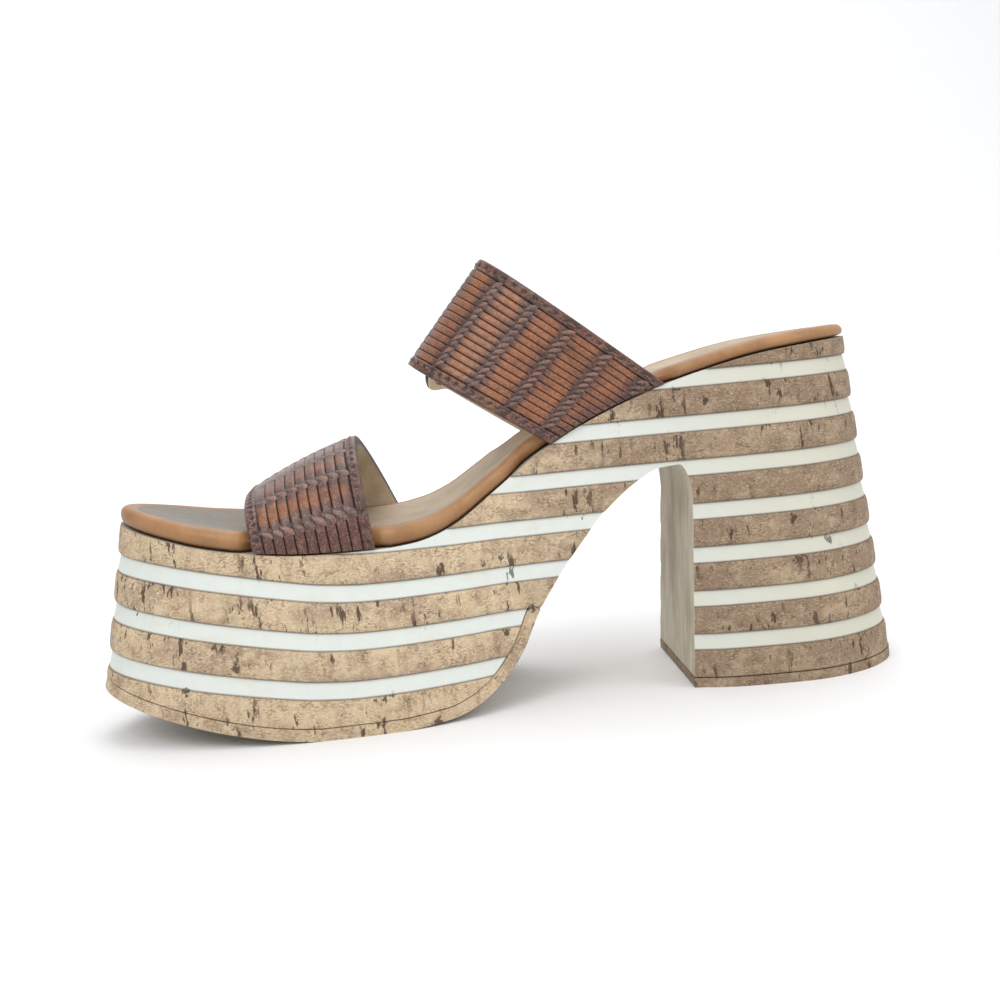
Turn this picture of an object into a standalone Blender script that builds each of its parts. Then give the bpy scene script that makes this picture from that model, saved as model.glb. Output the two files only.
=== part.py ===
"""Platform sandal for the right foot, standing empty on its sole.

The toe points to -X, the medial side faces -Y and the floor is at Z = 0. Inside the
functions a place is given the way a shoemaker would: a distance from the back of the
heel towards the toe, a distance towards the medial side, and a height.
"""
import math

import bmesh
import bpy
from mathutils import Matrix, Vector

# Sole unit
LENGTH = 0.257
BALL_HALF_BREADTH = 0.0462
HEEL_HEIGHT = 0.1058
PLATFORM_HEIGHT = 0.0554
HEEL_SETBACK = 0.0085
TOE_SETBACK = 0.0110
HEEL_ROUND = 0.036
TOE_ROUND = 0.070
BREAST_AT_FLOOR = 0.0701
BREAST_RAKE = 0.0039
BREAST_HEIGHT = 0.0597
ARCH_HEIGHT = 0.0712

# Toe spring of the tread, and the rise of the moulded layers above it
TREAD_SPRING = 0.0170
TREAD_SPRING_START = 0.186
LAYER_RISE = 0.0112
LAYER_GROWTH = 0.09
LAYER_GROWTH_START = 0.110
LAYER_GROWTH_END = 0.240

# Seven pale bands, let into the side of the unit
BAND_COUNT = 7
BAND_FIRST = 0.0121
BAND_PITCH = 0.01382
BAND_HEIGHT = 0.0050
BAND_DEPTH_TOP = 0.0009
BAND_DEPTH_BOTTOM = 0.0004

# Tread pieces under forefoot and heel
OUTSOLE_THICKNESS = 0.0036
OUTSOLE_START = 0.117
OUTSOLE_ROUND = 0.0026
LIFT_THICKNESS = 0.0030
LIFT_CHAMFER = 0.0005

# Insole
RIM_HEIGHT = 0.0060
RIM_HEIGHT_AT_HEEL = 0.0041
RIM_DROP_LATERAL = 0.0012
RIM_ROUND = 0.0045
INSOLE_DISH = 0.0030

# Straps
STRAP_WALL = 0.0024
ARCH_ROUND = 0.86
STRIP_RELIEF = 0.0005
STRIP_CUT = 0.0006
STRAP_BORDER = 0.0033
FOOT_TUCK = 0.0010
INSTEP_STRIPS = 13
TOE_STRIPS = 9
TAB_LENGTH = 0.062
TAB_CORNER = 0.017
STRAP_OVERLAP = 0.021

# Buckle on the lateral side
BILLET_WIDTH = 0.016
BILLET_WALL = 0.0016
BILLET_LENGTH = 0.043
BILLET_ON_STRAP = 0.011
BUCKLE_BAR = 0.0018
BUCKLE_LENGTH = 0.0135
BUCKLE_INNER_WIDTH = 0.0180
BUCKLE_DROP = 0.020
PRONG_THICKNESS = 0.0014
PRONG_HOLE = 0.0026
PRONG_HOLE_LENGTH = 0.0066
LOOP_WALL = 0.0010
LOOP_WIDTH = 0.0040
LOOP_TAIL = 0.0075

CLEARANCE = 0.0003
FOOT_CLEARANCE = 0.0007
NOTCH_RAMP = 0.004
NOTCH_SLACK = 0.0010
PLATE_HALF = 0.080
SIDE_STATIONS = 24
TREAD_STATIONS = 18
ORIGIN_ALONG = 0.12805
ORIGIN_MEDIAL = -0.00015
TIP_REACH = 0.030
TIP_STATIONS = 7
MEDIAL, LATERAL = 1.0, -1.0


def monotone(xs, ys, x):
    """Read a curve through the points that never overshoots them."""
    if x <= xs[0]:
        return ys[0]
    if x >= xs[-1]:
        return ys[-1]
    slopes = [(ys[i + 1] - ys[i]) / (xs[i + 1] - xs[i]) for i in range(len(xs) - 1)]
    tangents = [slopes[0]]
    for left, right in zip(slopes, slopes[1:]):
        tangents.append(2 * left * right / (left + right) if left * right > 0 else 0.0)
    tangents.append(slopes[-1])
    i = max(k for k in range(len(xs) - 1) if xs[k] <= x)
    width = xs[i + 1] - xs[i]
    t = (x - xs[i]) / width
    return (ys[i] * (1 + 2 * t) * (1 - t) ** 2 + tangents[i] * width * t * (1 - t) ** 2
            + ys[i + 1] * t * t * (3 - 2 * t) - tangents[i + 1] * width * t * t * (1 - t))


class Table:
    """Rows of shares with named columns, read between rows by the first column."""

    def __init__(self, *columns, rows):
        self.columns = {name: [row[i] for row in rows] for i, name in enumerate(columns)}
        self.first = columns[0]

    def read(self, name, at):
        return monotone(self.columns[self.first], self.columns[name], at)


# Station as a share of the length; swing of the centre line and half breadths as
# shares of the ball's half breadth, before heel and toe are rounded off
FLOOR_OUTLINE = Table("station", "swing", "half", rows=(
    (0.00, 0.060, 0.700),
    (0.15, 0.045, 0.720),
    (0.21, 0.020, 0.715),
    (0.24, -0.005, 0.705),
    (0.27, -0.045, 0.680),
    (0.35, -0.030, 0.640),
    (0.42, -0.027, 0.650),
    (0.49, -0.040, 0.750),
    (0.56, -0.033, 0.898),
    (0.63, -0.016, 0.980),
    (0.70, -0.005, 1.000),
    (0.78, 0.010, 1.000),
    (0.89, 0.060, 0.985),
    (1.00, 0.150, 0.960),
))
FEATHER_OUTLINE = Table("station", "swing", "half", rows=(
    (0.00, 0.045, 0.555),
    (0.13, 0.033, 0.565),
    (0.20, 0.022, 0.585),
    (0.26, 0.002, 0.598),
    (0.34, -0.016, 0.602),
    (0.41, -0.027, 0.622),
    (0.50, -0.044, 0.692),
    (0.57, -0.042, 0.790),
    (0.65, -0.022, 0.865),
    (0.72, -0.010, 0.892),
    (0.80, 0.010, 0.892),
    (0.87, 0.040, 0.875),
    (0.92, 0.070, 0.860),
    (1.00, 0.130, 0.840),
))

# Height of the feather line above the platform, as a share of the heel's extra height
PITCH = Table("station", "height", rows=(
    (0.00, 1.000),
    (0.05, 0.996),
    (0.14, 0.966),
    (0.24, 0.871),
    (0.35, 0.690),
    (0.44, 0.464),
    (0.50, 0.257),
    (0.55, 0.092),
    (0.58, 0.032),
    (0.60, 0.012),
    (0.64, 0.000),
    (0.72, 0.010),
    (0.79, 0.046),
    (0.85, 0.098),
    (0.90, 0.164),
    (0.95, 0.236),
    (1.00, 0.310),
))

# How far the moulded layers lie above their height in the heel, as a share of the rise
RISE = Table("station", "height", rows=(
    (0.50, 0.000),
    (0.59, -0.060),
    (0.67, -0.095),
    (0.72, -0.040),
    (0.77, 0.107),
    (0.81, 0.245),
    (0.86, 0.420),
    (0.93, 0.710),
    (1.00, 1.000),
))

# Underside of the waist, as shares of the length and of the arch height
ARCH = Table("station", "height", rows=(
    (0.271, 1.000),
    (0.293, 0.993),
    (0.326, 0.937),
    (0.368, 0.816),
    (0.387, 0.742),
    (0.416, 0.617),
    (0.456, 0.419),
    (0.482, 0.243),
    (0.512, 0.124),
    (0.541, 0.057),
    (0.572, 0.019),
    (0.630, 0.000),
))

# Side of the insole from its bottom edge to the start of its dish, as shares of the
# rounding and of the rim's height
RIM = Table("step", "inset", "height", rows=(
    (0, 0.42, 0.00),
    (1, 0.06, 0.16),
    (2, 0.00, 0.45),
    (3, 0.12, 0.76),
    (4, 0.45, 0.96),
    (5, 1.00, 1.00),
))
RIM_STEPS = 6
DISH_SHARES = (0.28, 0.60, 0.90)


def place(along, medial, height):
    """World position of a place in the shoe."""
    return Vector((ORIGIN_ALONG - along, ORIGIN_MEDIAL - medial, height))


def ease(share):
    share = min(max(share, 0.0), 1.0)
    return share * share * (3 - 2 * share)


def tread(along):
    """Height of the tread, which lifts off the floor towards the toe."""
    share = max(along - TREAD_SPRING_START, 0.0) / (LENGTH - TREAD_SPRING_START)
    return TREAD_SPRING * share ** 1.5


def feather(along):
    """Height of the line where the unit ends and the insole starts."""
    pitch = PITCH.read("height", along / LENGTH)
    return PLATFORM_HEIGHT + (HEEL_HEIGHT - PLATFORM_HEIGHT) * pitch


def layer(height, along):
    """Where a layer, level in the heel at this height, lies further forward."""
    span = LAYER_GROWTH_END - LAYER_GROWTH_START
    growth = LAYER_GROWTH * ease((along - LAYER_GROWTH_START) / span)
    return height * (1 + growth) + LAYER_RISE * RISE.read("height", along / LENGTH)


def underside(along):
    """Height of the waist's underside and of the tread in front of it."""
    return ARCH_HEIGHT * ARCH.read("height", along / LENGTH) + tread(along)


def roundness(share):
    """Narrowing of the outline towards the back of the heel and the tip of the toe."""
    heel, toe = HEEL_ROUND / LENGTH, TOE_ROUND / LENGTH
    if share < heel:
        return math.sqrt(max(1 - ((heel - share) / heel) ** 2, 0.0))
    if share > 1 - toe:
        return max(1 - ((share - 1 + toe) / toe) ** 2.1, 0.0) ** (1 / 2.1)
    return 1.0


def edge(share, side, level):
    """Outline of the unit: level 0 at the floor, level 1 at the feather line."""
    start = HEEL_SETBACK * level
    end = LENGTH - TOE_SETBACK * level
    medial = []
    for outline in (FLOOR_OUTLINE, FEATHER_OUTLINE):
        half = outline.read("half", share) * roundness(share)
        medial.append(BALL_HALF_BREADTH * (outline.read("swing", share) + side * half))
    floor, top = medial
    return start + (end - start) * share, floor + (top - floor) * level


def level_at(along, height):
    return (height - tread(along)) / (feather(along) - tread(along))


def edge_at(along, side, height):
    """Medial position of the unit's side at a distance and a height."""
    level = level_at(along, height)
    start, end = HEEL_SETBACK * level, LENGTH - TOE_SETBACK * level
    return edge((along - start) / (end - start), side, level)[1]


def side_shares(extra=()):
    """Shares round the outline from the heel's back by the medial side, and home."""
    n = SIDE_STATIONS
    shares = [(1 - math.cos(math.pi * i / n)) / 2 for i in range(n + 1)]
    shares = [share for share in shares
              if all(abs(share - other) * LENGTH > 0.0025 for other in extra)]
    shares = sorted(shares + list(extra))
    return ([(share, MEDIAL) for share in shares]
            + [(share, LATERAL) for share in shares[-2:0:-1]])


def inset(points, amounts):
    """Move a closed ring of flat points inwards, each by its own amount."""
    moved = []
    count = len(points)
    for i, (x, y) in enumerate(points):
        (x0, y0), (x1, y1) = points[i - 1], points[(i + 1) % count]
        length = math.hypot(x1 - x0, y1 - y0)
        moved.append((x - (y1 - y0) / length * -amounts[i],
                      y - (x1 - x0) / length * amounts[i]))
    return moved


def new_object(name, bm, collection):
    mesh = bpy.data.meshes.new(name)
    bm.to_mesh(mesh)
    bm.free()
    obj = bpy.data.objects.new(name, mesh)
    collection.objects.link(obj)
    return obj


def close_up(bm):
    bmesh.ops.remove_doubles(bm, verts=bm.verts, dist=0.00002)
    bmesh.ops.dissolve_degenerate(bm, edges=bm.edges, dist=0.00001)
    bmesh.ops.recalc_face_normals(bm, faces=bm.faces)


def skin(bm, rings):
    """Join rings of equally many corners, each to the next."""
    made = [[bm.verts.new(point) for point in ring] for ring in rings]
    for lower, upper in zip(made, made[1:]):
        for i in range(len(lower)):
            j = (i + 1) % len(lower)
            bm.faces.new((lower[i], lower[j], upper[j], upper[i]))
    return made


def span_ring(bm, ring, starts_at_tip):
    """Close a ring with faces that run straight across the shoe."""
    left, right = (1, len(ring) - 1) if starts_at_tip else (0, len(ring) - 1)
    if starts_at_tip:
        bm.faces.new((ring[0], ring[left], ring[right]))
    while right - left > 2:
        bm.faces.new((ring[left], ring[left + 1], ring[right - 1], ring[right]))
        left, right = left + 1, right - 1
    if right - left == 2:
        bm.faces.new((ring[left], ring[left + 1], ring[right]))


def side_view_plate(name, outline, collection):
    """A slab across the shoe whose outline is its side view."""
    curve = bpy.data.curves.new(name, "CURVE")
    curve.dimensions = "2D"
    curve.fill_mode = "BOTH"
    curve.extrude = PLATE_HALF
    spline = curve.splines.new("POLY")
    spline.points.add(len(outline) - 1)
    for point, (along, height) in zip(spline.points, outline):
        point.co = (ORIGIN_ALONG - along, height, 0.0, 1.0)
    spline.use_cyclic_u = True
    flat = bpy.data.objects.new(name, curve)
    collection.objects.link(flat)
    flat.rotation_euler = (math.radians(90), 0.0, 0.0)
    bpy.context.view_layer.update()
    graph = bpy.context.evaluated_depsgraph_get()
    mesh = bpy.data.meshes.new_from_object(flat.evaluated_get(graph))
    bm = bmesh.new()
    bm.from_mesh(mesh)
    close_up(bm)
    bm.to_mesh(mesh)
    bm.free()
    plate = bpy.data.objects.new(name + "_cutter", mesh)
    plate.matrix_world = flat.matrix_world
    bpy.data.objects.remove(flat)
    collection.objects.link(plate)
    plate.hide_render = True
    plate.display_type = "WIRE"
    return plate


def boolean(obj, cutter, operation):
    modifier = obj.modifiers.new(cutter.name, "BOOLEAN")
    modifier.operation = operation
    modifier.solver = "EXACT"
    modifier.object = cutter


def material(name, colour, roughness, metallic=0.0):
    made = bpy.data.materials.new(name)
    made.use_nodes = True
    shader = made.node_tree.nodes["Principled BSDF"]
    shader.inputs["Base Color"].default_value = (*colour, 1.0)
    shader.inputs["Roughness"].default_value = roughness
    shader.inputs["Metallic"].default_value = metallic
    made.diffuse_color = (*colour, 1.0)
    return made


def breast_line():
    """Front of the heel, from the floor up into the hollow of the waist."""
    foot = (BREAST_AT_FLOOR, 0.0)
    shoulder = (BREAST_AT_FLOOR - BREAST_RAKE, BREAST_HEIGHT)
    crown = (ARCH.columns["station"][0] * LENGTH, ARCH_HEIGHT)
    steps = 6
    hollow = []
    for i in range(1, steps):
        turn = math.radians(90) * i / steps
        hollow.append((shoulder[0] + (crown[0] - shoulder[0]) * (1 - math.cos(turn)),
                       shoulder[1] + (crown[1] - shoulder[1]) * math.sin(turn)))
    return [foot, shoulder] + hollow + [crown]


def tread_frame(along):
    """A point of the underside and the direction from it into the sole."""
    step = 0.0005
    slope = (underside(along + step) - underside(along - step)) / (2 * step)
    length = math.hypot(1.0, slope)
    return (along, underside(along)), (-slope / length, 1.0 / length)


def spaced(first, last, count):
    return [first + (last - first) * i / count for i in range(count + 1)]


def tread_stations():
    """Distances from the outsole's rear edge to its tip, closer together at the tip."""
    bend = LENGTH - TIP_REACH
    turn = math.radians(90) / TIP_STATIONS
    return (spaced(OUTSOLE_START, bend, TREAD_STATIONS)
            + [bend + TIP_REACH * math.sin(turn * i) for i in range(1, TIP_STATIONS + 1)])


def build_unit(collection, cutters, finish):
    """Platform, waist and block heel in one, with the bands let into its side."""
    levels = [(-0.004, 0.0)]
    for i in range(BAND_COUNT):
        low = BAND_FIRST + BAND_PITCH * i
        high = low + BAND_HEIGHT
        levels += [(low, 0.0), (low, BAND_DEPTH_BOTTOM), (high, BAND_DEPTH_TOP), (high, 0.0)]
    levels.append((HEEL_HEIGHT + 0.006, 0.0))
    rings = []
    for height, depth in levels:
        ring, heights = [], []
        for share, side in side_shares():
            along = edge(share, side, 0.5)[0]
            heights.append(layer(height, along))
            ring.append(edge(share, side, level_at(along, heights[-1])))
        ring = inset(ring, [depth] * len(ring))
        rings.append([place(x, y, z) for (x, y), z in zip(ring, heights)])
    bm = bmesh.new()
    made = skin(bm, rings)
    for ring in (made[0], made[-1]):
        span_ring(bm, ring, True)
    close_up(bm)
    unit = new_object("sole_unit", bm, collection)

    back, front = -0.010, LENGTH + 0.010
    seat = LIFT_THICKNESS + CLEARANCE
    outline = [(back, seat)]
    breast = breast_line()
    rake = BREAST_RAKE / BREAST_HEIGHT
    outline.append((BREAST_AT_FLOOR - rake * seat, seat))
    outline += breast[1:-1]
    rear = OUTSOLE_START - CLEARANCE
    outline += [(x, underside(x)) for x in spaced(breast[-1][0], rear, 11)]
    depth = OUTSOLE_THICKNESS + CLEARANCE
    stations = tread_stations()
    for along in [rear] + stations[1:] + [front]:
        (x, z), (nx, nz) = tread_frame(along)
        outline.append((x + nx * depth, z + nz * depth))
    outline += [(x, feather(x)) for x in reversed(spaced(back, front, 46))]
    boolean(unit, side_view_plate("unit_side_view", outline, cutters), "INTERSECT")
    unit.data.materials.append(finish)
    return unit


def build_outsole(collection, finish):
    """Forefoot tread, cut flat and wrapped from the waist forward to the toe."""
    alongs = tread_stations()
    fine = spaced(OUTSOLE_START, LENGTH, 400)
    travel = [0.0]
    for a, b in zip(fine, fine[1:]):
        travel.append(travel[-1] + math.hypot(b - a, underside(b) - underside(a)))
    flat = [(monotone(fine, travel, x), edge_at(x, MEDIAL, underside(x))) for x in alongs]
    flat += [(monotone(fine, travel, x), edge_at(x, LATERAL, underside(x)))
             for x in reversed(alongs[:-1])]
    rings = []
    for depth, shy in ((0.0, 1.0), (0.18, 0.42), (0.5, 0.1), (1.0, 0.12)):
        amounts = [OUTSOLE_ROUND * shy] * len(flat)
        ring = []
        for travelled, medial in inset(flat, amounts):
            along = monotone(travel, fine, min(max(travelled, 0.0), travel[-1]))
            (x, z), (nx, nz) = tread_frame(along)
            deep = OUTSOLE_THICKNESS * depth
            ring.append(place(x + nx * deep, medial, z + nz * deep))
        rings.append(ring)
    bm = bmesh.new()
    made = skin(bm, rings)
    for ring in (made[0], made[-1]):
        span_ring(bm, ring, False)
    close_up(bm)
    outsole = new_object("forefoot_outsole", bm, collection)
    outsole.data.materials.append(finish)
    return outsole


def build_lift(collection, finish):
    """Flat top piece under the heel."""
    count = 14
    reach = BREAST_AT_FLOOR / LENGTH
    shares = [reach * (1 - math.cos(math.radians(90) * i / count)) for i in range(count + 1)]
    flat = [edge(share, MEDIAL, 0.0) for share in reversed(shares)]
    flat += [edge(share, LATERAL, 0.0) for share in shares[1:]]
    rings = []
    for height, shy in ((0.0, LIFT_CHAMFER), (LIFT_CHAMFER, 0.0), (LIFT_THICKNESS, 0.0)):
        ring = inset(flat, [-shy] * len(flat))
        rings.append([place(x, y, height) for x, y in ring])
    bm = bmesh.new()
    made = skin(bm, rings)
    for ring in (made[0], made[-1]):
        span_ring(bm, ring, False)
    close_up(bm)
    lift = new_object("heel_lift", bm, collection)
    lift.data.materials.append(finish)
    return lift


def notch_span(strap, side):
    """Start and end of the place where a strap's foot presses on the insole's side."""
    return strap.feet[side][0] - 0.0005, strap.at_rim(side, 1.0).x + 0.0005


def notch(along, side):
    """How far a strap's foot presses the insole's side in."""
    depth = 0.0
    for strap in (TOE_STRAP, INSTEP_STRAP):
        start, end = notch_span(strap, side)
        across = min(max((along - start) / (end - start), 0.0), 1.0)
        spot = strap.at_rim(side, across)
        inward = abs(edge_at(spot.x, side, feather(spot.x)) - spot.y)
        deep = strap.inner_face(side) - strap.foot_inset(side) + inward + NOTCH_SLACK
        share = min((along - start) / NOTCH_RAMP, (end - along) / NOTCH_RAMP) + 1
        depth = max(depth, ease(share) * deep)
    return depth


def build_insole(collection, finish):
    """Padded insole with a rounded rim and a dished top."""
    def rim(along, medial):
        share = ease((along - 0.055) / 0.09)
        full = RIM_HEIGHT_AT_HEEL + (RIM_HEIGHT - RIM_HEIGHT_AT_HEEL) * share
        return full - RIM_DROP_LATERAL * ease(0.5 - medial / BALL_HALF_BREADTH)

    ends = set()
    for strap in (TOE_STRAP, INSTEP_STRAP):
        for side in (MEDIAL, LATERAL):
            start, end = notch_span(strap, side)
            ends |= {start - NOTCH_RAMP, start, end, end + NOTCH_RAMP}
    top_length = LENGTH - HEEL_SETBACK - TOE_SETBACK
    shares = side_shares([(end - HEEL_SETBACK) / top_length for end in sorted(ends)])
    base = [edge(share, side, 1.0) for share, side in shares]
    rings = []
    for step in range(RIM_STEPS):
        amounts = [RIM.read("inset", step) * RIM_ROUND + notch(x, side)
                   for (x, _), (_, side) in zip(base, shares)]
        ring = []
        for x, y in inset(base, amounts):
            z = feather(x) + CLEARANCE * 1.5 + RIM.read("height", step) * rim(x, y)
            ring.append((x, y, z))
        rings.append(ring)
    brim = rings[-1]
    for share in DISH_SHARES:
        ring = []
        for x, y, _ in brim:
            spine_x = min(max(x, 0.030), LENGTH - 0.050)
            spine_y = BALL_HALF_BREADTH * FEATHER_OUTLINE.read("swing", spine_x / LENGTH)
            inner_x = x + (spine_x - x) * share
            inner_y = y + (spine_y - y) * share
            sunk = INSOLE_DISH * math.sin(math.radians(90) * share)
            top = feather(inner_x) + CLEARANCE * 1.5 + rim(inner_x, inner_y)
            ring.append((inner_x, inner_y, top - sunk))
        rings.append(ring)
    bm = bmesh.new()
    made = skin(bm, [[place(*point) for point in ring] for ring in rings])
    for ring in (made[0], made[-1]):
        span_ring(bm, ring, True)
    close_up(bm)
    insole = new_object("insole", bm, collection)
    insole.data.materials.append(finish)
    return insole


class Arch:
    """The curved surface a strap lies on: feet on both sides and a crest between.

    Across runs from 0 at the rear edge to 1 at the front, around from 0 at the medial
    foot over 0.5 at the crest to 1 at the lateral foot, and out is the distance from
    the middle of the strap's wall.
    """

    def __init__(self, medial_feet, lateral_feet, crest_rear, crest_front, crest_side,
                 crown, lateral_tuck):
        self.feet = {MEDIAL: medial_feet, LATERAL: lateral_feet}
        self.crest_rear, self.crest_front = crest_rear, crest_front
        self.crest_side, self.crown = crest_side, crown
        self.lateral_tuck = lateral_tuck

    def foot_inset(self, side):
        """How far inside the unit's edge the middle of the wall meets the sole."""
        lift = self.lateral_tuck if side == LATERAL else 0.0
        return FOOT_TUCK - lift

    def inner_face(self, side):
        """The same for the innermost leather, the tab's where there is one."""
        tab = STRAP_WALL + CLEARANCE if side == LATERAL and self.lateral_tuck else 0.0
        return self.foot_inset(side) + STRAP_WALL / 2 + tab

    def middle(self, across, around):
        side = MEDIAL if around <= 0.5 else LATERAL
        rear, front = self.feet[side]
        foot_x = rear + (front - rear) * across
        foot_z = feather(foot_x) + FOOT_CLEARANCE
        foot_y = edge_at(foot_x, side, foot_z) - side * self.foot_inset(side)
        turn = math.pi * (around if side == MEDIAL else 1 - around)
        out, up = max(math.cos(turn), 0.0) ** ARCH_ROUND, math.sin(turn) ** ARCH_ROUND
        bulge = self.crown * (1 - (2 * across - 1) ** 2)
        crest_x = self.crest_rear[0] + (self.crest_front[0] - self.crest_rear[0]) * across
        crest_z = self.crest_rear[1] + (self.crest_front[1] - self.crest_rear[1]) * across
        return Vector((foot_x + (crest_x - foot_x) * up,
                       self.crest_side + (foot_y - self.crest_side) * out,
                       foot_z + (crest_z + bulge - foot_z) * up))

    def at_rim(self, side, across):
        """Middle of the wall where it passes the top of the insole's rim."""
        rear, front = self.feet[side]
        crest_z = self.crest_rear[1] + (self.crest_front[1] - self.crest_rear[1]) * across
        share = RIM_HEIGHT / (crest_z - feather(rear + (front - rear) * across))
        turn = math.asin(share ** (1 / ARCH_ROUND)) / math.pi
        return self.middle(across, turn if side == MEDIAL else 1 - turn)

    def normal(self, across, around):
        step = 0.004
        a, b = max(around - step, 0.0), min(around + step, 1.0)
        run = self.middle(across, b) - self.middle(across, a)
        wide = self.middle(across + step, around) - self.middle(across - step, around)
        return run.cross(wide).normalized()

    def point(self, across, around, out=0.0):
        spot = self.middle(across, around) + self.normal(across, around) * out
        return place(*spot)

    def lengths(self, across=0.5, count=240):
        """Distance run from the medial foot, at evenly spaced places around."""
        grid = spaced(0.0, 1.0, count)
        run = [0.0]
        for a, b in zip(grid, grid[1:]):
            run.append(run[-1] + (self.middle(across, b) - self.middle(across, a)).length)
        return grid, run

    def around_at(self, distance):
        grid, run = self.lengths()
        return monotone(run, grid, distance)

    def girth(self):
        return self.lengths()[1][-1]

    def width(self, around):
        return (self.middle(1.0, around) - self.middle(0.0, around)).length


TOE_STRAP = Arch(medial_feet=(0.1661, 0.2022), lateral_feet=(0.1572, 0.1932),
                 crest_rear=(0.1696, 0.0862), crest_front=(0.2050, 0.0716),
                 crest_side=0.002, crown=0.0015, lateral_tuck=0.0)
INSTEP_STRAP = Arch(medial_feet=(0.0723, 0.1094), lateral_feet=(0.0717, 0.1108),
                    crest_rear=(0.1231, 0.1397), crest_front=(0.1493, 0.1084),
                    crest_side=0.003, crown=0.0, lateral_tuck=STRAP_WALL * 0.75)


def woven_section(width, strips):
    """Corners across a strap: a plain inside, and a border and strips outside."""
    half = STRAP_WALL / 2
    border, cut = STRAP_BORDER / width, STRIP_CUT / width / 2
    starts = [0.0] + [border + (1 - 2 * border) * i / strips for i in range(strips + 1)] + [1.0]
    section = [(0.0, -half), (0.0, half)]
    for i, (a, b) in enumerate(zip(starts, starts[1:])):
        if i:
            section.append((a, half))
        section.append((a + cut, half + STRIP_RELIEF))
        section.append((b - cut, half + STRIP_RELIEF))
    section += [(1.0, half)]
    return section + [(across, -half) for across in reversed(spaced(0.0, 1.0, 6)[1:])]


def build_woven_strap(name, arch, strips, first, last, count, collection, finish):
    section = woven_section(arch.width(0.25), strips)
    rings = [[arch.point(across, around, out) for across, out in section]
             for around in spaced(first, last, count)]
    bm = bmesh.new()
    made = skin(bm, rings)
    bm.faces.new(made[0])
    bm.faces.new(made[-1])
    close_up(bm)
    strap = new_object(name, bm, collection)
    strap.data.materials.append(finish)
    return strap


def build_tab(collection, finish):
    """Plain tab from the lateral side of the sole, with a round end under the strap."""
    arch = INSTEP_STRAP
    girth = arch.girth()
    outer = -STRAP_WALL / 2 - CLEARANCE
    inner = outer - STRAP_WALL
    columns = 8
    rings = []
    end = girth - TAB_LENGTH
    runs = [end + TAB_CORNER * (1 - math.cos(math.radians(90) * i / 6)) for i in range(7)]
    runs += spaced(runs[-1], girth - FOOT_CLEARANCE / 2, 6)[1:]
    for run in runs:
        around = arch.around_at(run)
        left = max(TAB_CORNER - (run - end), 0.0)
        shy = (TAB_CORNER - math.sqrt(TAB_CORNER ** 2 - left ** 2)) / arch.width(around)
        acrosses = [shy + (1 - 2 * shy) * i / columns for i in range(columns + 1)]
        rings.append([arch.point(across, around, outer) for across in acrosses]
                     + [arch.point(across, around, inner) for across in reversed(acrosses)])
    bm = bmesh.new()
    made = skin(bm, rings)
    bm.faces.new(made[0])
    bm.faces.new(made[-1])
    close_up(bm)
    tab = new_object("lateral_tab", bm, collection)
    tab.data.materials.append(finish)
    return tab


def closure_point(sideways, run, out):
    """A place on the lateral side: forward of the middle, along the strap, and out."""
    arch = INSTEP_STRAP
    around = arch.around_at(run)
    return arch.point(0.5 + sideways / arch.width(around), around, out)


def strap_end():
    return INSTEP_STRAP.girth() - TAB_LENGTH + STRAP_OVERLAP


def billet_out(run):
    """Height of the billet's middle, over the strap's end and then over the buckle."""
    over_strap = STRAP_WALL / 2 + STRIP_RELIEF + CLEARANCE + BILLET_WALL / 2
    over_bar = hinge_out() + BUCKLE_BAR / 2 + 3 * CLEARANCE + PRONG_THICKNESS + BILLET_WALL / 2
    share = ease((run - strap_end()) / (BUCKLE_DROP - 0.003))
    return over_strap + (over_bar - over_strap) * share


def hinge_gap():
    """Radius of the loops' inside, round the buckle's hinge bar."""
    return BUCKLE_BAR / 2 + CLEARANCE * 1.7


def hinge_out():
    return -STRAP_WALL / 2 + CLEARANCE + LOOP_WALL + hinge_gap() - CLEARANCE


def build_billet(collection, cutters, finish):
    """Narrow strap sewn on the woven one, through the buckle and out at its end."""
    start = strap_end() - BILLET_ON_STRAP
    finish_run = start + BILLET_LENGTH
    point_length = 0.008
    rings = []
    runs = spaced(start, finish_run - point_length, 14)
    runs += [finish_run - point_length * (1 - math.sin(math.radians(90) * i / 5))
             for i in range(1, 6)]
    for run in runs:
        left = max(run - finish_run + point_length, 0.0) / point_length
        half = BILLET_WIDTH / 2 * max(math.sqrt(1 - left ** 2), 0.12)
        out = billet_out(run)
        rings.append([closure_point(side * half, run, out + up * BILLET_WALL / 2)
                      for side, up in ((-1, -1), (-1, 1), (0, 1), (1, 1), (1, -1), (0, -1))])
    bm = bmesh.new()
    made = skin(bm, rings)
    bm.faces.new(made[0])
    bm.faces.new(made[-1])
    close_up(bm)
    billet = new_object("buckle_billet", bm, collection)
    billet.data.materials.append(finish)

    hinge = strap_end() + BUCKLE_DROP
    hole_run = hinge - BUCKLE_LENGTH * 0.35
    spot = closure_point(0.0, hole_run, billet_out(hole_run))
    axis = (closure_point(0.0, hole_run, 0.01) - closure_point(0.0, hole_run, 0.0)).normalized()
    side = (closure_point(0.01, hole_run, 0.0) - closure_point(0.0, hole_run, 0.0)).normalized()
    run = side.cross(axis).normalized()
    turned = Matrix((run, axis.cross(run), axis)).transposed()
    bpy.ops.mesh.primitive_cylinder_add(vertices=16, radius=PRONG_HOLE / 2, depth=0.008,
                                        location=spot,
                                        rotation=turned.to_euler())
    cutter = bpy.context.object
    cutter.name = "prong_hole_cutter"
    cutter.scale.x = PRONG_HOLE_LENGTH / PRONG_HOLE
    for owner in list(cutter.users_collection):
        owner.objects.unlink(cutter)
    cutters.objects.link(cutter)
    cutter.hide_render = True
    cutter.display_type = "WIRE"
    boolean(billet, cutter, "DIFFERENCE")
    return billet


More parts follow.
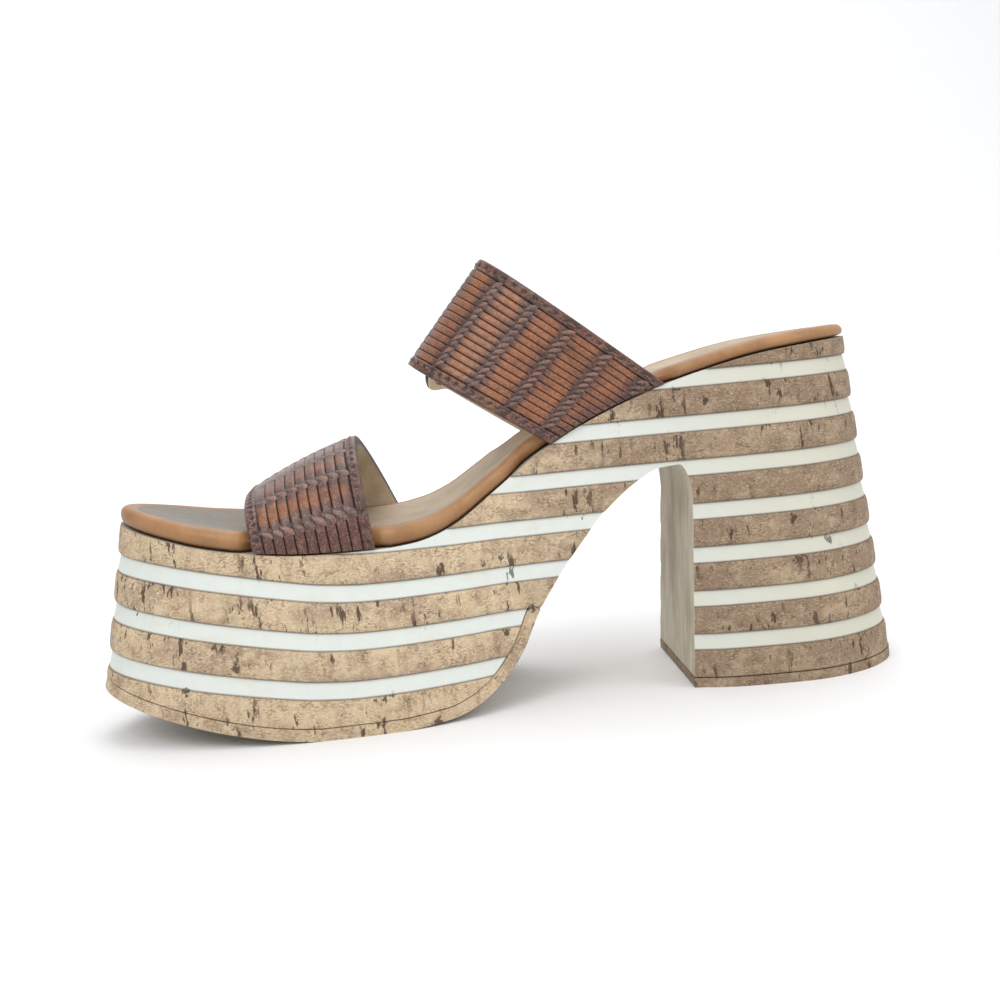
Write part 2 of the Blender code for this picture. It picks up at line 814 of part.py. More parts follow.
def wire(name, points, thickness, closed, collection, finish):
    """A round bar along the points."""
    curve = bpy.data.curves.new(name, "CURVE")
    curve.dimensions = "3D"
    curve.bevel_depth = thickness / 2
    curve.bevel_resolution = 2
    curve.use_fill_caps = True
    spline = curve.splines.new("POLY")
    spline.points.add(len(points) - 1)
    for corner, point in zip(spline.points, points):
        corner.co = (*point, 1.0)
    spline.use_cyclic_u = closed
    obj = bpy.data.objects.new(name, curve)
    collection.objects.link(obj)
    curve.materials.append(finish)
    return obj


def build_buckle(collection, brass, leather):
    """Frame tilted over the billet, its prong, and two leather loops on the hinge bar."""
    hinge = strap_end() + BUCKLE_DROP
    top = hinge - BUCKLE_LENGTH
    low_out = hinge_out()
    high_out = billet_out(top) + BILLET_WALL / 2 + CLEARANCE * 2 + BUCKLE_BAR / 2
    half = BUCKLE_INNER_WIDTH / 2 + BUCKLE_BAR / 2
    corner = 0.0026
    corners = ((-half, 0.0), (half, 0.0), (half, 1.0), (-half, 1.0))
    points = []
    for i, (x, share) in enumerate(corners):
        here = closure_point(x, hinge + (top - hinge) * share, low_out + (high_out - low_out) * share)
        before, after = corners[i - 1], corners[(i + 1) % 4]
        for toward in (before, after):
            there = closure_point(toward[0], hinge + (top - hinge) * toward[1],
                                  low_out + (high_out - low_out) * toward[1])
            points.append(here + (there - here).normalized() * corner)
            if toward is before:
                points.append(here + ((there - here).normalized()
                              + (closure_point(after[0], hinge + (top - hinge) * after[1],
                                 low_out + (high_out - low_out) * after[1]) - here).normalized())
                              * corner * 0.30)
    wire("buckle_frame", points, BUCKLE_BAR, True, collection, brass)

    rest = high_out + BUCKLE_BAR / 2 + CLEARANCE + PRONG_THICKNESS / 2
    start_out = low_out + BUCKLE_BAR / 2 + CLEARANCE + PRONG_THICKNESS / 2
    hole_run = hinge - BUCKLE_LENGTH * 0.35
    prong = [closure_point(0.0, hinge + 0.0006, start_out),
             closure_point(0.0, hinge - BUCKLE_LENGTH * 0.18, start_out + 0.0001),
             closure_point(0.0, hole_run, billet_out(hole_run)),
             closure_point(0.0, hinge - BUCKLE_LENGTH * 0.55,
                           billet_out(hole_run) + BILLET_WALL / 2 + PRONG_THICKNESS),
             closure_point(0.0, top, rest),
             closure_point(0.0, top - 0.0016, rest - 0.0002)]
    wire("buckle_prong", prong, PRONG_THICKNESS, False, collection, brass)

    inner, outer = hinge_gap(), hinge_gap() + LOOP_WALL
    for number, side in enumerate((-1.0, 1.0), start=1):
        near = side * (PRONG_THICKNESS / 2 + 0.0012)
        far = near + side * LOOP_WIDTH
        profile = []
        for i in range(11):
            turn = math.radians(-90 - 250 * i / 10)
            profile.append((outer * math.cos(turn), outer * math.sin(turn)))
        for i in range(10, -1, -1):
            turn = math.radians(-90 - 250 * i / 10)
            profile.append((inner * math.cos(turn), inner * math.sin(turn)))
        profile += [(LOOP_TAIL, -inner), (LOOP_TAIL, -outer)]
        rings = [[closure_point(x, hinge + run, low_out + out) for run, out in profile]
                 for x in (near, far)]
        bm = bmesh.new()
        made = skin(bm, rings)
        bm.faces.new(made[0])
        bm.faces.new(made[-1])
        close_up(bm)
        loop = new_object(f"buckle_loop_{number}", bm, collection)
        loop.data.materials.append(leather)


def main():
    for obj in list(bpy.data.objects):
        bpy.data.objects.remove(obj)
    sandal = bpy.data.collections.new("platform_sandal")
    cutters = bpy.data.collections.new("cutters")
    for collection in (sandal, cutters):
        bpy.context.scene.collection.children.link(collection)

    cork = material("printed_cork_unit", (0.54, 0.42, 0.29), 0.75)
    tread_finish = material("taupe_rubber", (0.25, 0.21, 0.17), 0.7)
    tan = material("tan_insole_leather", (0.48, 0.26, 0.11), 0.5)
    brown = material("woven_brown_leather", (0.22, 0.09, 0.05), 0.45)
    dark = material("dark_brown_leather", (0.06, 0.03, 0.02), 0.5)
    brass = material("antique_brass", (0.45, 0.33, 0.16), 0.35, 1.0)

    build_unit(sandal, cutters, cork)
    build_outsole(sandal, tread_finish)
    build_lift(sandal, tread_finish)
    build_insole(sandal, tan)
    build_woven_strap("toe_strap", TOE_STRAP, TOE_STRIPS, 0.0, 1.0, 24, sandal, brown)
    last = INSTEP_STRAP.around_at(strap_end())
    build_woven_strap("instep_strap", INSTEP_STRAP, INSTEP_STRIPS, 0.0, last, 22, sandal, brown)
    build_tab(sandal, dark)
    build_billet(sandal, cutters, dark)
    build_buckle(sandal, brass, dark)


main()
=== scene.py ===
import functools
import math
import random

import bmesh
import bpy
from mathutils import Matrix, Vector


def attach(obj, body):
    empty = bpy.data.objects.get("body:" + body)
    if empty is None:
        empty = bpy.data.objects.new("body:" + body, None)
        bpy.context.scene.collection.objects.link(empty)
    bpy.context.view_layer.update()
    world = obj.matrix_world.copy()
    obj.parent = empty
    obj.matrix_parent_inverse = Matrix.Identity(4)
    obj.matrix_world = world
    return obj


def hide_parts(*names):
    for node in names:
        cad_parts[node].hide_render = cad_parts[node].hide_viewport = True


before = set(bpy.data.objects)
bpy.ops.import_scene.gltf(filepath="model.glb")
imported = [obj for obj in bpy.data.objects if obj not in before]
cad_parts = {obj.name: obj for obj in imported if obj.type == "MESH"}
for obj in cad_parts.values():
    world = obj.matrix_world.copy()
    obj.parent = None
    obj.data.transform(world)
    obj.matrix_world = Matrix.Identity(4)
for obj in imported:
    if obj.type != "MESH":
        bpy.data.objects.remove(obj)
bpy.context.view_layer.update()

# Sole unit
LENGTH = 0.257
BALL_HALF_BREADTH = 0.0462
HEEL_HEIGHT = 0.1058
PLATFORM_HEIGHT = 0.0554
HEEL_SETBACK = 0.0085
TOE_SETBACK = 0.0110
HEEL_ROUND = 0.036
TOE_ROUND = 0.070
TOE_BLUNTNESS = 2.1
BREAST_AT_FLOOR = 0.0701
BREAST_RAKE = 0.0039
BREAST_HEIGHT = 0.0597
ARCH_HEIGHT = 0.0712
TREAD_SPRING = 0.0170
TREAD_SPRING_START = 0.186
LAYER_RISE = 0.0112
LAYER_GROWTH = 0.09
LAYER_GROWTH_START = 0.110
LAYER_GROWTH_END = 0.240

# Pale bands and the cork between them
BAND_COUNT = 7
BAND_FIRST = 0.0121
BAND_PITCH = 0.01382
BAND_HEIGHT = 0.0050
BAND_DEPTH_TOP = 0.0010
BAND_DEPTH_BOTTOM = 0.0004
CORK_BULGE = 0.00025
CORK_EDGE = 0.0003

# Shares of a band's height that have a row, and how its depth grows from one to the next
BAND_SHARES = (0.3, 0.65, 0.92)
BAND_SLOPE = 1.4

# Rounding of a cork layer: distance from the band, and share of the rounded edge's inset,
# or of the bulge where it is negative
CORK_UNDER_BAND = ((0.0020, -1.0), (0.0009, -0.4), (0.0004, 0.3), (0.00012, 0.7))
CORK_OVER_BAND = ((0.00012, 0.9), (0.0004, 0.35), (0.0009, -0.3), (0.0020, -0.9))

# Distances from a band's edge over which the painted shade in its step's corner fades
BAND_EDGE_SHADE_FADE = (0.00012, 0.00042)

# Tread pieces
OUTSOLE_THICKNESS = 0.0036
OUTSOLE_START = 0.117
OUTSOLE_ROUND = 0.0018
OUTSOLE_BEND = 0.030
LIFT_THICKNESS = 0.0030
LIFT_ROUND = 0.0006

# Insole
RIM_HEIGHT = 0.0060
RIM_HEIGHT_AT_HEEL = 0.0041
RIM_GROWTH_START = 0.055
RIM_GROWTH_LENGTH = 0.09
RIM_DROP_LATERAL = 0.0012
RIM_ROUND = 0.0045
RIM_GIRTH = 0.008
INSOLE_DISH = 0.0030
INSOLE_SEAT = 0.00045
INSOLE_KEEL_START = 0.030
INSOLE_KEEL_END = 0.050
SOCK_GROOVE = 0.00035
SOCK_GROOVE_SHARE = 0.02
SOCK_HALF_WIDTH = 0.03

# Straps
STRAP_WALL = 0.0024
ARCH_ROUND = 0.86
STRIP_RELIEF = 0.0006
STRAP_BORDER = 0.0036
FOOT_TUCK = 0.0010
INSTEP_STRIPS = 13
TOE_STRIPS = 9
TAB_LENGTH = 0.062
TAB_CORNER = 0.017
TAB_PEEK = 0.0040
TAB_PEEK_FADE = 0.009
TAB_STITCH_INSET = 0.0030
STRAP_OVERLAP = 0.021
WEAVE_STEP = 0.0005
PLAIT_SINK = 0.0004
PLAIT_RISE = 0.00026
PLAIT_TILT = 0.00016
PLAIT_HALF_LENGTH_SHARE = 0.88
PLAIT_HALF_WIDTH_SHARE = 0.44
PLAIT_SLANT = math.radians(41)
PLAIT_END_MARGIN = 0.0015
STITCH_PITCH = 0.0035
STITCH_INSET = 0.0019
STITCH_HOLE = 0.0008
STITCH_HOLE_DEPTH = 0.00045
THREAD = 0.00048
THREAD_LIFT = THREAD * 0.15

# How far the burnish and painted shade reach from a plait row, the burnish from a border, the
# painted shade from a foot, and the painted shadow round a leaf
BURNISH_AND_SHADE_BESIDE_ROW = 0.0042
BURNISH_BESIDE_EDGE = 0.0045
SHADE_BY_FOOT = 0.010
LEAF_SHADOW_REACH = 0.0012

# A strap's border: distance from the edge, and share of the relief
BORDER_SHAPE = ((0.00025, 0.85), (0.0006, 0.97), (0.0012, 1.0), (0.0016, 1.0), (0.0020, 1.0),
                (0.0024, 1.0), (0.0029, 1.0))

# A raised strip: share of its width, share of the relief, and painted shade in the cut
STRIP_SHAPE = ((0.07, 0.72, 0.35), (0.16, 0.93, 0.0), (0.32, 1.0, 0.0), (0.50, 1.03, 0.0),
               (0.68, 1.0, 0.0), (0.84, 0.93, 0.0), (0.93, 0.72, 0.35), (1.0, 0.05, 1.0))

# A stitch: share of the way from hole to hole, and depth in the leather
SEAM_DIPS = ((0.16, 0.00050), (0.28, 0.00008), (0.5, -0.00004), (0.72, 0.00008), (0.84, 0.00050))
BILLET_DIPS = ((0.16, 0.0004), (0.3, 0.0), (0.5, -0.00004), (0.7, 0.0), (0.84, 0.0004))

# Buckle on the lateral side
BILLET_WIDTH = 0.016
BILLET_WALL = 0.0016
BILLET_LENGTH = 0.043
BILLET_ON_STRAP = 0.011
BILLET_POINT = 0.008
BILLET_STITCH_PITCH = 0.0030
BILLET_STITCH_INSET = 0.0017
BUCKLE_BAR = 0.0018
BUCKLE_LENGTH = 0.0135
BUCKLE_INNER_WIDTH = 0.0180
BUCKLE_DROP = 0.020
BUCKLE_CORNER = 0.0028
PRONG_THICKNESS = 0.0014
LOOP_WALL = 0.0010
LOOP_WIDTH = 0.0040
LOOP_TAIL = 0.0075
LOOP_FROM_PRONG = 0.0012

CLEARANCE = 0.0003
FOOT_CLEARANCE = 0.0007
NOTCH_MARGIN = 0.0005
NOTCH_RAMP = 0.004
NOTCH_SLACK = 0.0010
PLATE_HALF = 0.080
PLATE_OVERHANG = 0.010
LOFT_BOTTOM, LOFT_TOP = -0.02, 0.13
ORIGIN_ALONG = 0.12805
ORIGIN_MEDIAL = -0.00015
MEDIAL, LATERAL = 1.0, -1.0
QUARTER_TURN = math.radians(90)

# Camera, at the photograph's angle to the shoe
CAMERA_PLACE = Vector((-0.0256, -0.4898, 0.1200))
CAMERA_AIM = Vector((0.0031, -0.0040, 0.0627))
CAMERA_ROLL = math.radians(5.2)
CAMERA_LENS = 54.0


def monotone(xs, ys, x):
    """Read a curve through the points that never overshoots them."""
    if x <= xs[0]:
        return ys[0]
    if x >= xs[-1]:
        return ys[-1]
    slopes = [(ys[i + 1] - ys[i]) / (xs[i + 1] - xs[i]) for i in range(len(xs) - 1)]
    tangents = [slopes[0]]
    for left, right in zip(slopes, slopes[1:]):
        tangents.append(2 * left * right / (left + right) if left * right > 0 else 0.0)
    tangents.append(slopes[-1])
    i = max(k for k in range(len(xs) - 1) if xs[k] <= x)
    width = xs[i + 1] - xs[i]
    t = (x - xs[i]) / width
    return (ys[i] * (1 + 2 * t) * (1 - t) ** 2 + tangents[i] * width * t * (1 - t) ** 2
            + ys[i + 1] * t * t * (3 - 2 * t) - tangents[i + 1] * width * t * t * (1 - t))


class Table:
    """Rows of shares with named columns, read between rows by the first column."""

    def __init__(self, *columns, rows):
        self.columns = {name: [row[i] for row in rows] for i, name in enumerate(columns)}
        self.first = columns[0]

    def read(self, name, at):
        return monotone(self.columns[self.first], self.columns[name], at)


# Swing of the centre line and half breadths, as shares of the ball's half breadth
FLOOR_OUTLINE = Table("station", "swing", "half", rows=(
    (0.00, 0.060, 0.700),
    (0.15, 0.045, 0.720),
    (0.21, 0.020, 0.715),
    (0.24, -0.005, 0.705),
    (0.27, -0.045, 0.680),
    (0.35, -0.030, 0.640),
    (0.42, -0.027, 0.650),
    (0.49, -0.040, 0.750),
    (0.56, -0.033, 0.898),
    (0.63, -0.016, 0.980),
    (0.70, -0.005, 1.000),
    (0.78, 0.010, 1.000),
    (0.89, 0.060, 0.985),
    (1.00, 0.150, 0.960),
))
FEATHER_OUTLINE = Table("station", "swing", "half", rows=(
    (0.00, 0.045, 0.555),
    (0.13, 0.033, 0.565),
    (0.20, 0.022, 0.585),
    (0.26, 0.002, 0.598),
    (0.34, -0.016, 0.602),
    (0.41, -0.027, 0.622),
    (0.50, -0.044, 0.692),
    (0.57, -0.042, 0.790),
    (0.65, -0.022, 0.865),
    (0.72, -0.010, 0.892),
    (0.80, 0.010, 0.892),
    (0.87, 0.040, 0.875),
    (0.92, 0.070, 0.860),
    (1.00, 0.130, 0.840),
))

# Height of the feather line above the platform, as a share of the heel's extra height
PITCH = Table("station", "height", rows=(
    (0.00, 1.000),
    (0.05, 0.996),
    (0.14, 0.966),
    (0.24, 0.871),
    (0.35, 0.690),
    (0.44, 0.464),
    (0.50, 0.257),
    (0.55, 0.092),
    (0.58, 0.032),
    (0.60, 0.012),
    (0.64, 0.000),
    (0.72, 0.010),
    (0.79, 0.046),
    (0.85, 0.098),
    (0.90, 0.164),
    (0.95, 0.236),
    (1.00, 0.310),
))

# How far the moulded layers lie above their height in the heel, as a share of the rise
RISE = Table("station", "height", rows=(
    (0.50, 0.000),
    (0.59, -0.060),
    (0.67, -0.095),
    (0.72, -0.040),
    (0.77, 0.107),
    (0.81, 0.245),
    (0.86, 0.420),
    (0.93, 0.710),
    (1.00, 1.000),
))

# Underside of the waist, as shares of the length and of the arch height
ARCH = Table("station", "height", rows=(
    (0.271, 1.000),
    (0.293, 0.993),
    (0.326, 0.937),
    (0.368, 0.816),
    (0.387, 0.742),
    (0.416, 0.617),
    (0.456, 0.419),
    (0.482, 0.243),
    (0.512, 0.124),
    (0.541, 0.057),
    (0.572, 0.019),
    (0.630, 0.000),
))

# Side of the insole, as shares of the rounding and of the rim's height
RIM = Table("step", "inset", "height", rows=(
    (0, 0.42, 0.00),
    (1, 0.06, 0.16),
    (2, 0.00, 0.45),
    (3, 0.12, 0.76),
    (4, 0.45, 0.96),
    (5, 1.00, 1.00),
))


def place(along, medial, height):
    """World position of a place in the shoe."""
    return Vector((ORIGIN_ALONG - along, ORIGIN_MEDIAL - medial, height))


def ease(share):
    share = min(max(share, 0.0), 1.0)
    return share * share * (3 - 2 * share)


def spaced(first, last, count):
    return [first + (last - first) * i / count for i in range(count + 1)]


def tread(along):
    share = max(along - TREAD_SPRING_START, 0.0) / (LENGTH - TREAD_SPRING_START)
    return TREAD_SPRING * share ** 1.5


@functools.lru_cache(maxsize=None)
def feather(along):
    """Height of the line where the unit ends and the insole starts."""
    pitch = PITCH.read("height", along / LENGTH)
    return PLATFORM_HEIGHT + (HEEL_HEIGHT - PLATFORM_HEIGHT) * pitch


def layer(height, along):
    """Where a layer, level in the heel at this height, lies further forward."""
    span = LAYER_GROWTH_END - LAYER_GROWTH_START
    growth = LAYER_GROWTH * ease((along - LAYER_GROWTH_START) / span)
    return height * (1 + growth) + LAYER_RISE * RISE.read("height", along / LENGTH)


def underside(along):
    return ARCH_HEIGHT * ARCH.read("height", along / LENGTH) + tread(along)


def roundness(share):
    heel, toe = HEEL_ROUND / LENGTH, TOE_ROUND / LENGTH
    if share < heel:
        return math.sqrt(max(1 - ((heel - share) / heel) ** 2, 0.0))
    if share > 1 - toe:
        left = max(1 - ((share - 1 + toe) / toe) ** TOE_BLUNTNESS, 0.0)
        return left ** (1 / TOE_BLUNTNESS)
    return 1.0


def edge(share, side, level):
    """Outline of the unit: level 0 at the floor, level 1 at the feather line."""
    start = HEEL_SETBACK * level
    end = LENGTH - TOE_SETBACK * level
    medial = []
    for outline in (FLOOR_OUTLINE, FEATHER_OUTLINE):
        half = outline.read("half", share) * roundness(share)
        medial.append(BALL_HALF_BREADTH * (outline.read("swing", share) + side * half))
    floor, top = medial
    return start + (end - start) * share, floor + (top - floor) * level


def level_at(along, height):
    return (height - tread(along)) / (feather(along) - tread(along))


def edge_at(along, side, height):
    level = level_at(along, height)
    start, end = HEEL_SETBACK * level, LENGTH - TOE_SETBACK * level
    return edge((along - start) / (end - start), side, level)[1]


def side_shares(count):
    """Shares round the outline from the heel's back by the medial side, and home."""
    shares = [(1 - math.cos(math.pi * i / count)) / 2 for i in range(count + 1)]
    return ([(share, MEDIAL) for share in shares]
            + [(share, LATERAL) for share in shares[-2:0:-1]])


def inset(points, amounts):
    """Move a closed ring of flat points inwards, each by its own amount."""
    moved = []
    count = len(points)
    for i, (x, y) in enumerate(points):
        (x0, y0), (x1, y1) = points[i - 1], points[(i + 1) % count]
        length = math.hypot(x1 - x0, y1 - y0)
        moved.append((x + (y1 - y0) / length * amounts[i],
                      y - (x1 - x0) / length * amounts[i]))
    return moved


def breast_line(steps):
    """Front of the heel, from the floor up into the hollow of the waist."""
    foot = (BREAST_AT_FLOOR, 0.0)
    shoulder = (BREAST_AT_FLOOR - BREAST_RAKE, BREAST_HEIGHT)
    crown = (ARCH.columns["station"][0] * LENGTH, ARCH_HEIGHT)
    hollow = []
    for i in range(1, steps):
        turn = QUARTER_TURN * i / steps
        hollow.append((shoulder[0] + (crown[0] - shoulder[0]) * (1 - math.cos(turn)),
                       shoulder[1] + (crown[1] - shoulder[1]) * math.sin(turn)))
    return [foot, shoulder] + hollow + [crown]


def tread_frame(along):
    """A point of the underside and the direction from it into the sole."""
    step = 0.0005
    slope = (underside(along + step) - underside(along - step)) / (2 * step)
    length = math.hypot(1.0, slope)
    return (along, underside(along)), (-slope / length, 1.0 / length)


class Arch:
    """The curved surface a strap lies on: feet on both sides and a crest between.

    Across runs from 0 at the rear edge to 1 at the front, around from 0 at the medial
    foot over 0.5 at the crest to 1 at the lateral foot, and out is the distance from
    the middle of the strap's wall.
    """

    def __init__(self, medial_feet, lateral_feet, crest_rear, crest_front, crest_side,
                 crown, lateral_tuck):
        self.feet = {MEDIAL: medial_feet, LATERAL: lateral_feet}
        self.crest_rear, self.crest_front = crest_rear, crest_front
        self.crest_side, self.crown = crest_side, crown
        self.lateral_tuck = lateral_tuck
        self.known = {}

    def foot_inset(self, side):
        lift = self.lateral_tuck if side == LATERAL else 0.0
        return FOOT_TUCK - lift

    def inner_face(self, side):
        tab = STRAP_WALL + CLEARANCE if side == LATERAL and self.lateral_tuck else 0.0
        return self.foot_inset(side) + STRAP_WALL / 2 + tab

    def foot(self, across, side):
        """Where the strap's middle meets the sole, worked out once for each place."""
        if (across, side) not in self.known:
            rear, front = self.feet[side]
            x = rear + (front - rear) * across
            z = feather(x) + FOOT_CLEARANCE
            self.known[across, side] = (x, edge_at(x, side, z) - side * self.foot_inset(side), z)
        return self.known[across, side]

    def middle(self, across, around):
        side = MEDIAL if around <= 0.5 else LATERAL
        foot_x, foot_y, foot_z = self.foot(across, side)
        turn = math.pi * (around if side == MEDIAL else 1 - around)
        out, up = max(math.cos(turn), 0.0) ** ARCH_ROUND, math.sin(turn) ** ARCH_ROUND
        bulge = self.crown * (1 - (2 * across - 1) ** 2)
        crest_x = self.crest_rear[0] + (self.crest_front[0] - self.crest_rear[0]) * across
        crest_z = self.crest_rear[1] + (self.crest_front[1] - self.crest_rear[1]) * across
        return Vector((foot_x + (crest_x - foot_x) * up,
                       self.crest_side + (foot_y - self.crest_side) * out,
                       foot_z + (crest_z + bulge - foot_z) * up))

    def at_rim(self, side, across):
        """Middle of the wall where it passes the top of the insole's rim."""
        rear, front = self.feet[side]
        crest_z = self.crest_rear[1] + (self.crest_front[1] - self.crest_rear[1]) * across
        share = RIM_HEIGHT / (crest_z - feather(rear + (front - rear) * across))
        turn = math.asin(share ** (1 / ARCH_ROUND)) / math.pi
        return self.middle(across, turn if side == MEDIAL else 1 - turn)

    def normal(self, across, around):
        step = 0.004
        a, b = max(around - step, 0.0), min(around + step, 1.0)
        run = self.middle(across, b) - self.middle(across, a)
        wide = self.middle(across + step, around) - self.middle(across - step, around)
        return run.cross(wide).normalized()

    def point(self, across, around, out=0.0):
        spot = self.middle(across, around) + self.normal(across, around) * out
        return place(*spot)

    @functools.lru_cache(maxsize=None)
    def lengths(self, count=240):
        """Distance run from the medial foot, at evenly spaced places around."""
        grid = spaced(0.0, 1.0, count)
        run = [0.0]
        for a, b in zip(grid, grid[1:]):
            run.append(run[-1] + (self.middle(0.5, b) - self.middle(0.5, a)).length)
        return grid, run

    @functools.lru_cache(maxsize=None)
    def around_at(self, distance):
        grid, run = self.lengths()
        return monotone(run, grid, distance)

    def girth(self):
        return self.lengths()[1][-1]

    @functools.lru_cache(maxsize=None)
    def width(self, around):
        return (self.middle(1.0, around) - self.middle(0.0, around)).length


TOE_STRAP = Arch(medial_feet=(0.1661, 0.2022), lateral_feet=(0.1572, 0.1932),
                 crest_rear=(0.1696, 0.0862), crest_front=(0.2050, 0.0716),
                 crest_side=0.002, crown=0.0015, lateral_tuck=0.0)
INSTEP_STRAP = Arch(medial_feet=(0.0723, 0.1094), lateral_feet=(0.0717, 0.1108),
                    crest_rear=(0.1231, 0.1397), crest_front=(0.1493, 0.1084),
                    crest_side=0.003, crown=0.0, lateral_tuck=STRAP_WALL * 0.75)


def notch(along, side):
    """How far a strap's foot presses the insole's side in."""
    depth = 0.0
    for strap in (TOE_STRAP, INSTEP_STRAP):
        start = strap.feet[side][0] - NOTCH_MARGIN
        end = strap.at_rim(side, 1.0).x + NOTCH_MARGIN
        across = min(max((along - start) / (end - start), 0.0), 1.0)
        spot = strap.at_rim(side, across)
        inward = abs(edge_at(spot.x, side, feather(spot.x)) - spot.y)
        deep = strap.inner_face(side) - strap.foot_inset(side) + inward + NOTCH_SLACK
        share = min((along - start) / NOTCH_RAMP, (end - along) / NOTCH_RAMP) + 1
        depth = max(depth, ease(share) * deep)
    return depth


# Mesh tools


def bent_grid(columns, rows, spot, finish=None, wrap=None):
    """A grid whose corner in column i and row j comes to spot(i, j).

    finish(i, j) gives a face's material, and wrap(i, j) its corners' place in the
    pattern's own coordinates, in metres.
    """
    bm = bmesh.new()
    pattern = bm.loops.layers.uv.new("wrap")
    bmesh.ops.create_grid(bm, x_segments=columns, y_segments=rows, size=0.5)
    for face in bm.faces:
        centre = face.calc_center_median()
        if finish:
            face.material_index = finish(int((centre.x + 0.5) * columns),
                                         int((centre.y + 0.5) * rows))
        if wrap:
            for loop in face.loops:
                i = round((loop.vert.co.x + 0.5) * columns)
                j = round((loop.vert.co.y + 0.5) * rows)
                loop[pattern].uv = wrap(i, j)
    for vert in bm.verts:
        vert.co = spot(round((vert.co.x + 0.5) * columns), round((vert.co.y + 0.5) * rows))
    return bm


def close_up(bm, distance=0.00001, finish=0):
    """Sew the seams, fill the open ends and turn the faces outwards."""
    bmesh.ops.remove_doubles(bm, verts=bm.verts, dist=distance)
    bmesh.ops.dissolve_degenerate(bm, edges=bm.edges, dist=0.000002)
    before = set(bm.faces)
    bmesh.ops.holes_fill(bm, edges=[e for e in bm.edges if e.is_boundary], sides=0)
    for face in bm.faces:
        if face not in before:
            face.material_index = finish
    bmesh.ops.recalc_face_normals(bm, faces=bm.faces)


def pulled_out(bm):
    """Extrude all faces, and return the corners of the new side."""
    made = bmesh.ops.extrude_face_region(bm, geom=bm.faces[:])
    return [part for part in made["geom"] if isinstance(part, bmesh.types.BMVert)]


def as_mesh(name, bm, finishes=()):
    """A mesh with its materials from a bmesh, which is freed."""
    mesh = bpy.data.meshes.new(name)
    bm.to_mesh(mesh)
    bm.free()
    for finish in finishes:
        mesh.materials.append(finish)
    return mesh


def linked(name, data):
    """A new object in the scene."""
    obj = bpy.data.objects.new(name, data)
    bpy.context.scene.collection.objects.link(obj)
    return obj


def finished(name, bm, replaced, finishes, sharp=35.0):
    """Make the object of a piece, which stands for the replaced CAD nodes if any are given."""
    mesh = as_mesh(name, bm, finishes)
    mesh.shade_smooth()
    mesh.set_sharp_from_angle(angle=math.radians(sharp))
    obj = linked(name, mesh)
    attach(obj, "root")
    if replaced:
        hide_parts(*replaced)
    return obj


def joined(parts):
    """One bmesh from several, which are freed."""
    whole = bmesh.new()
    for part in parts:
        mesh = as_mesh("part", part)
        whole.from_mesh(mesh)
        bpy.data.meshes.remove(mesh)
    return whole


# Material tools


def colour(code):
    """Linear colour of an sRGB hex value."""
    parts = [int(code[i:i + 2], 16) / 255 for i in (1, 3, 5)]
    linear = [p / 12.92 if p <= 0.04045 else ((p + 0.055) / 1.055) ** 2.4 for p in parts]
    return (*linear, 1.0)


def node(tree, kind, inputs=(), **settings):
    """Add a node with its settings, and link or set its inputs."""
    made = tree.nodes.new(kind)
    for name, value in settings.items():
        setattr(made, name, value)
    for socket, value in dict(inputs).items():
        if isinstance(value, bpy.types.NodeSocket):
            tree.links.new(value, made.inputs[socket])
        else:
            made.inputs[socket].default_value = value
    return made


def start_material(name, roughness, **sockets):
    """A material with constants on its shader's sockets, its tree and Object coordinates."""
    made = bpy.data.materials.new(name)
    made.use_nodes = True
    tree = made.node_tree
    shader = tree.nodes["Principled BSDF"]
    shader.inputs["Roughness"].default_value = roughness
    for socket, value in sockets.items():
        shader.inputs[socket.replace("_", " ")].default_value = value
    return made, tree, node(tree, "ShaderNodeTexCoord").outputs["Object"]


def finish_material(made, shaded, relief, rough=None):
    """Join a pattern's colour, relief and roughness to the shader."""
    tree = made.node_tree
    shader = tree.nodes["Principled BSDF"]
    tree.links.new(shaded, shader.inputs["Base Color"])
    tree.links.new(relief, shader.inputs["Normal"])
    if rough:
        tree.links.new(rough, shader.inputs["Roughness"])
    return made


def axis(tree, vector, number):
    return node(tree, "ShaderNodeSeparateXYZ", {0: vector}).outputs[number]


def noise_at(tree, coordinates, period, stretch=(1, 1, 1), detail=3.0, rough=0.55, offset=0.0):
    """Noise with features of about one period, in metres, longer along a stretch."""
    mapping = node(tree, "ShaderNodeMapping", {
        "Vector": coordinates, "Location": (offset, offset, offset),
        "Scale": [1 / (period * s) for s in stretch]})
    return node(tree, "ShaderNodeTexNoise", {
        "Vector": mapping.outputs[0], "Scale": 1.0, "Detail": detail,
        "Roughness": rough}).outputs[0]


def pebbles(tree, coordinates, per_metre):
    """Height of a cellular grain with so many cells a metre."""
    cells = {"Vector": coordinates, "Scale": per_metre}
    return node(tree, "ShaderNodeTexVoronoi", cells).outputs[0]


def between(tree, value, low, high, to_low=0.0, to_high=1.0):
    """Smooth step of a value from low to high."""
    return node(tree, "ShaderNodeMapRange", {
        0: value, 1: low, 2: high, 3: to_low, 4: to_high},
        interpolation_type="SMOOTHSTEP").outputs[0]


def patches(tree, coordinates, period, low, high, *shape):
    """Soft patches of noise: 0 where it is under low, and 1 where it is over high."""
    return between(tree, noise_at(tree, coordinates, period, *shape), low, high)


def maths(tree, operation, a, b=0.0):
    return node(tree, "ShaderNodeMath", {0: a, 1: b}, operation=operation).outputs[0]


def mix(tree, factor, a, b, blend="MIX"):
    return node(tree, "ShaderNodeMix", {0: factor, 6: a, 7: b},
                data_type="RGBA", blend_type=blend).outputs[2]


def over(tree, shaded, mask, share, code, blend="MIX"):
    """Lay a colour over what is below, by a share of a mask."""
    return mix(tree, maths(tree, "MULTIPLY", mask, share), shaded, colour(code), blend)


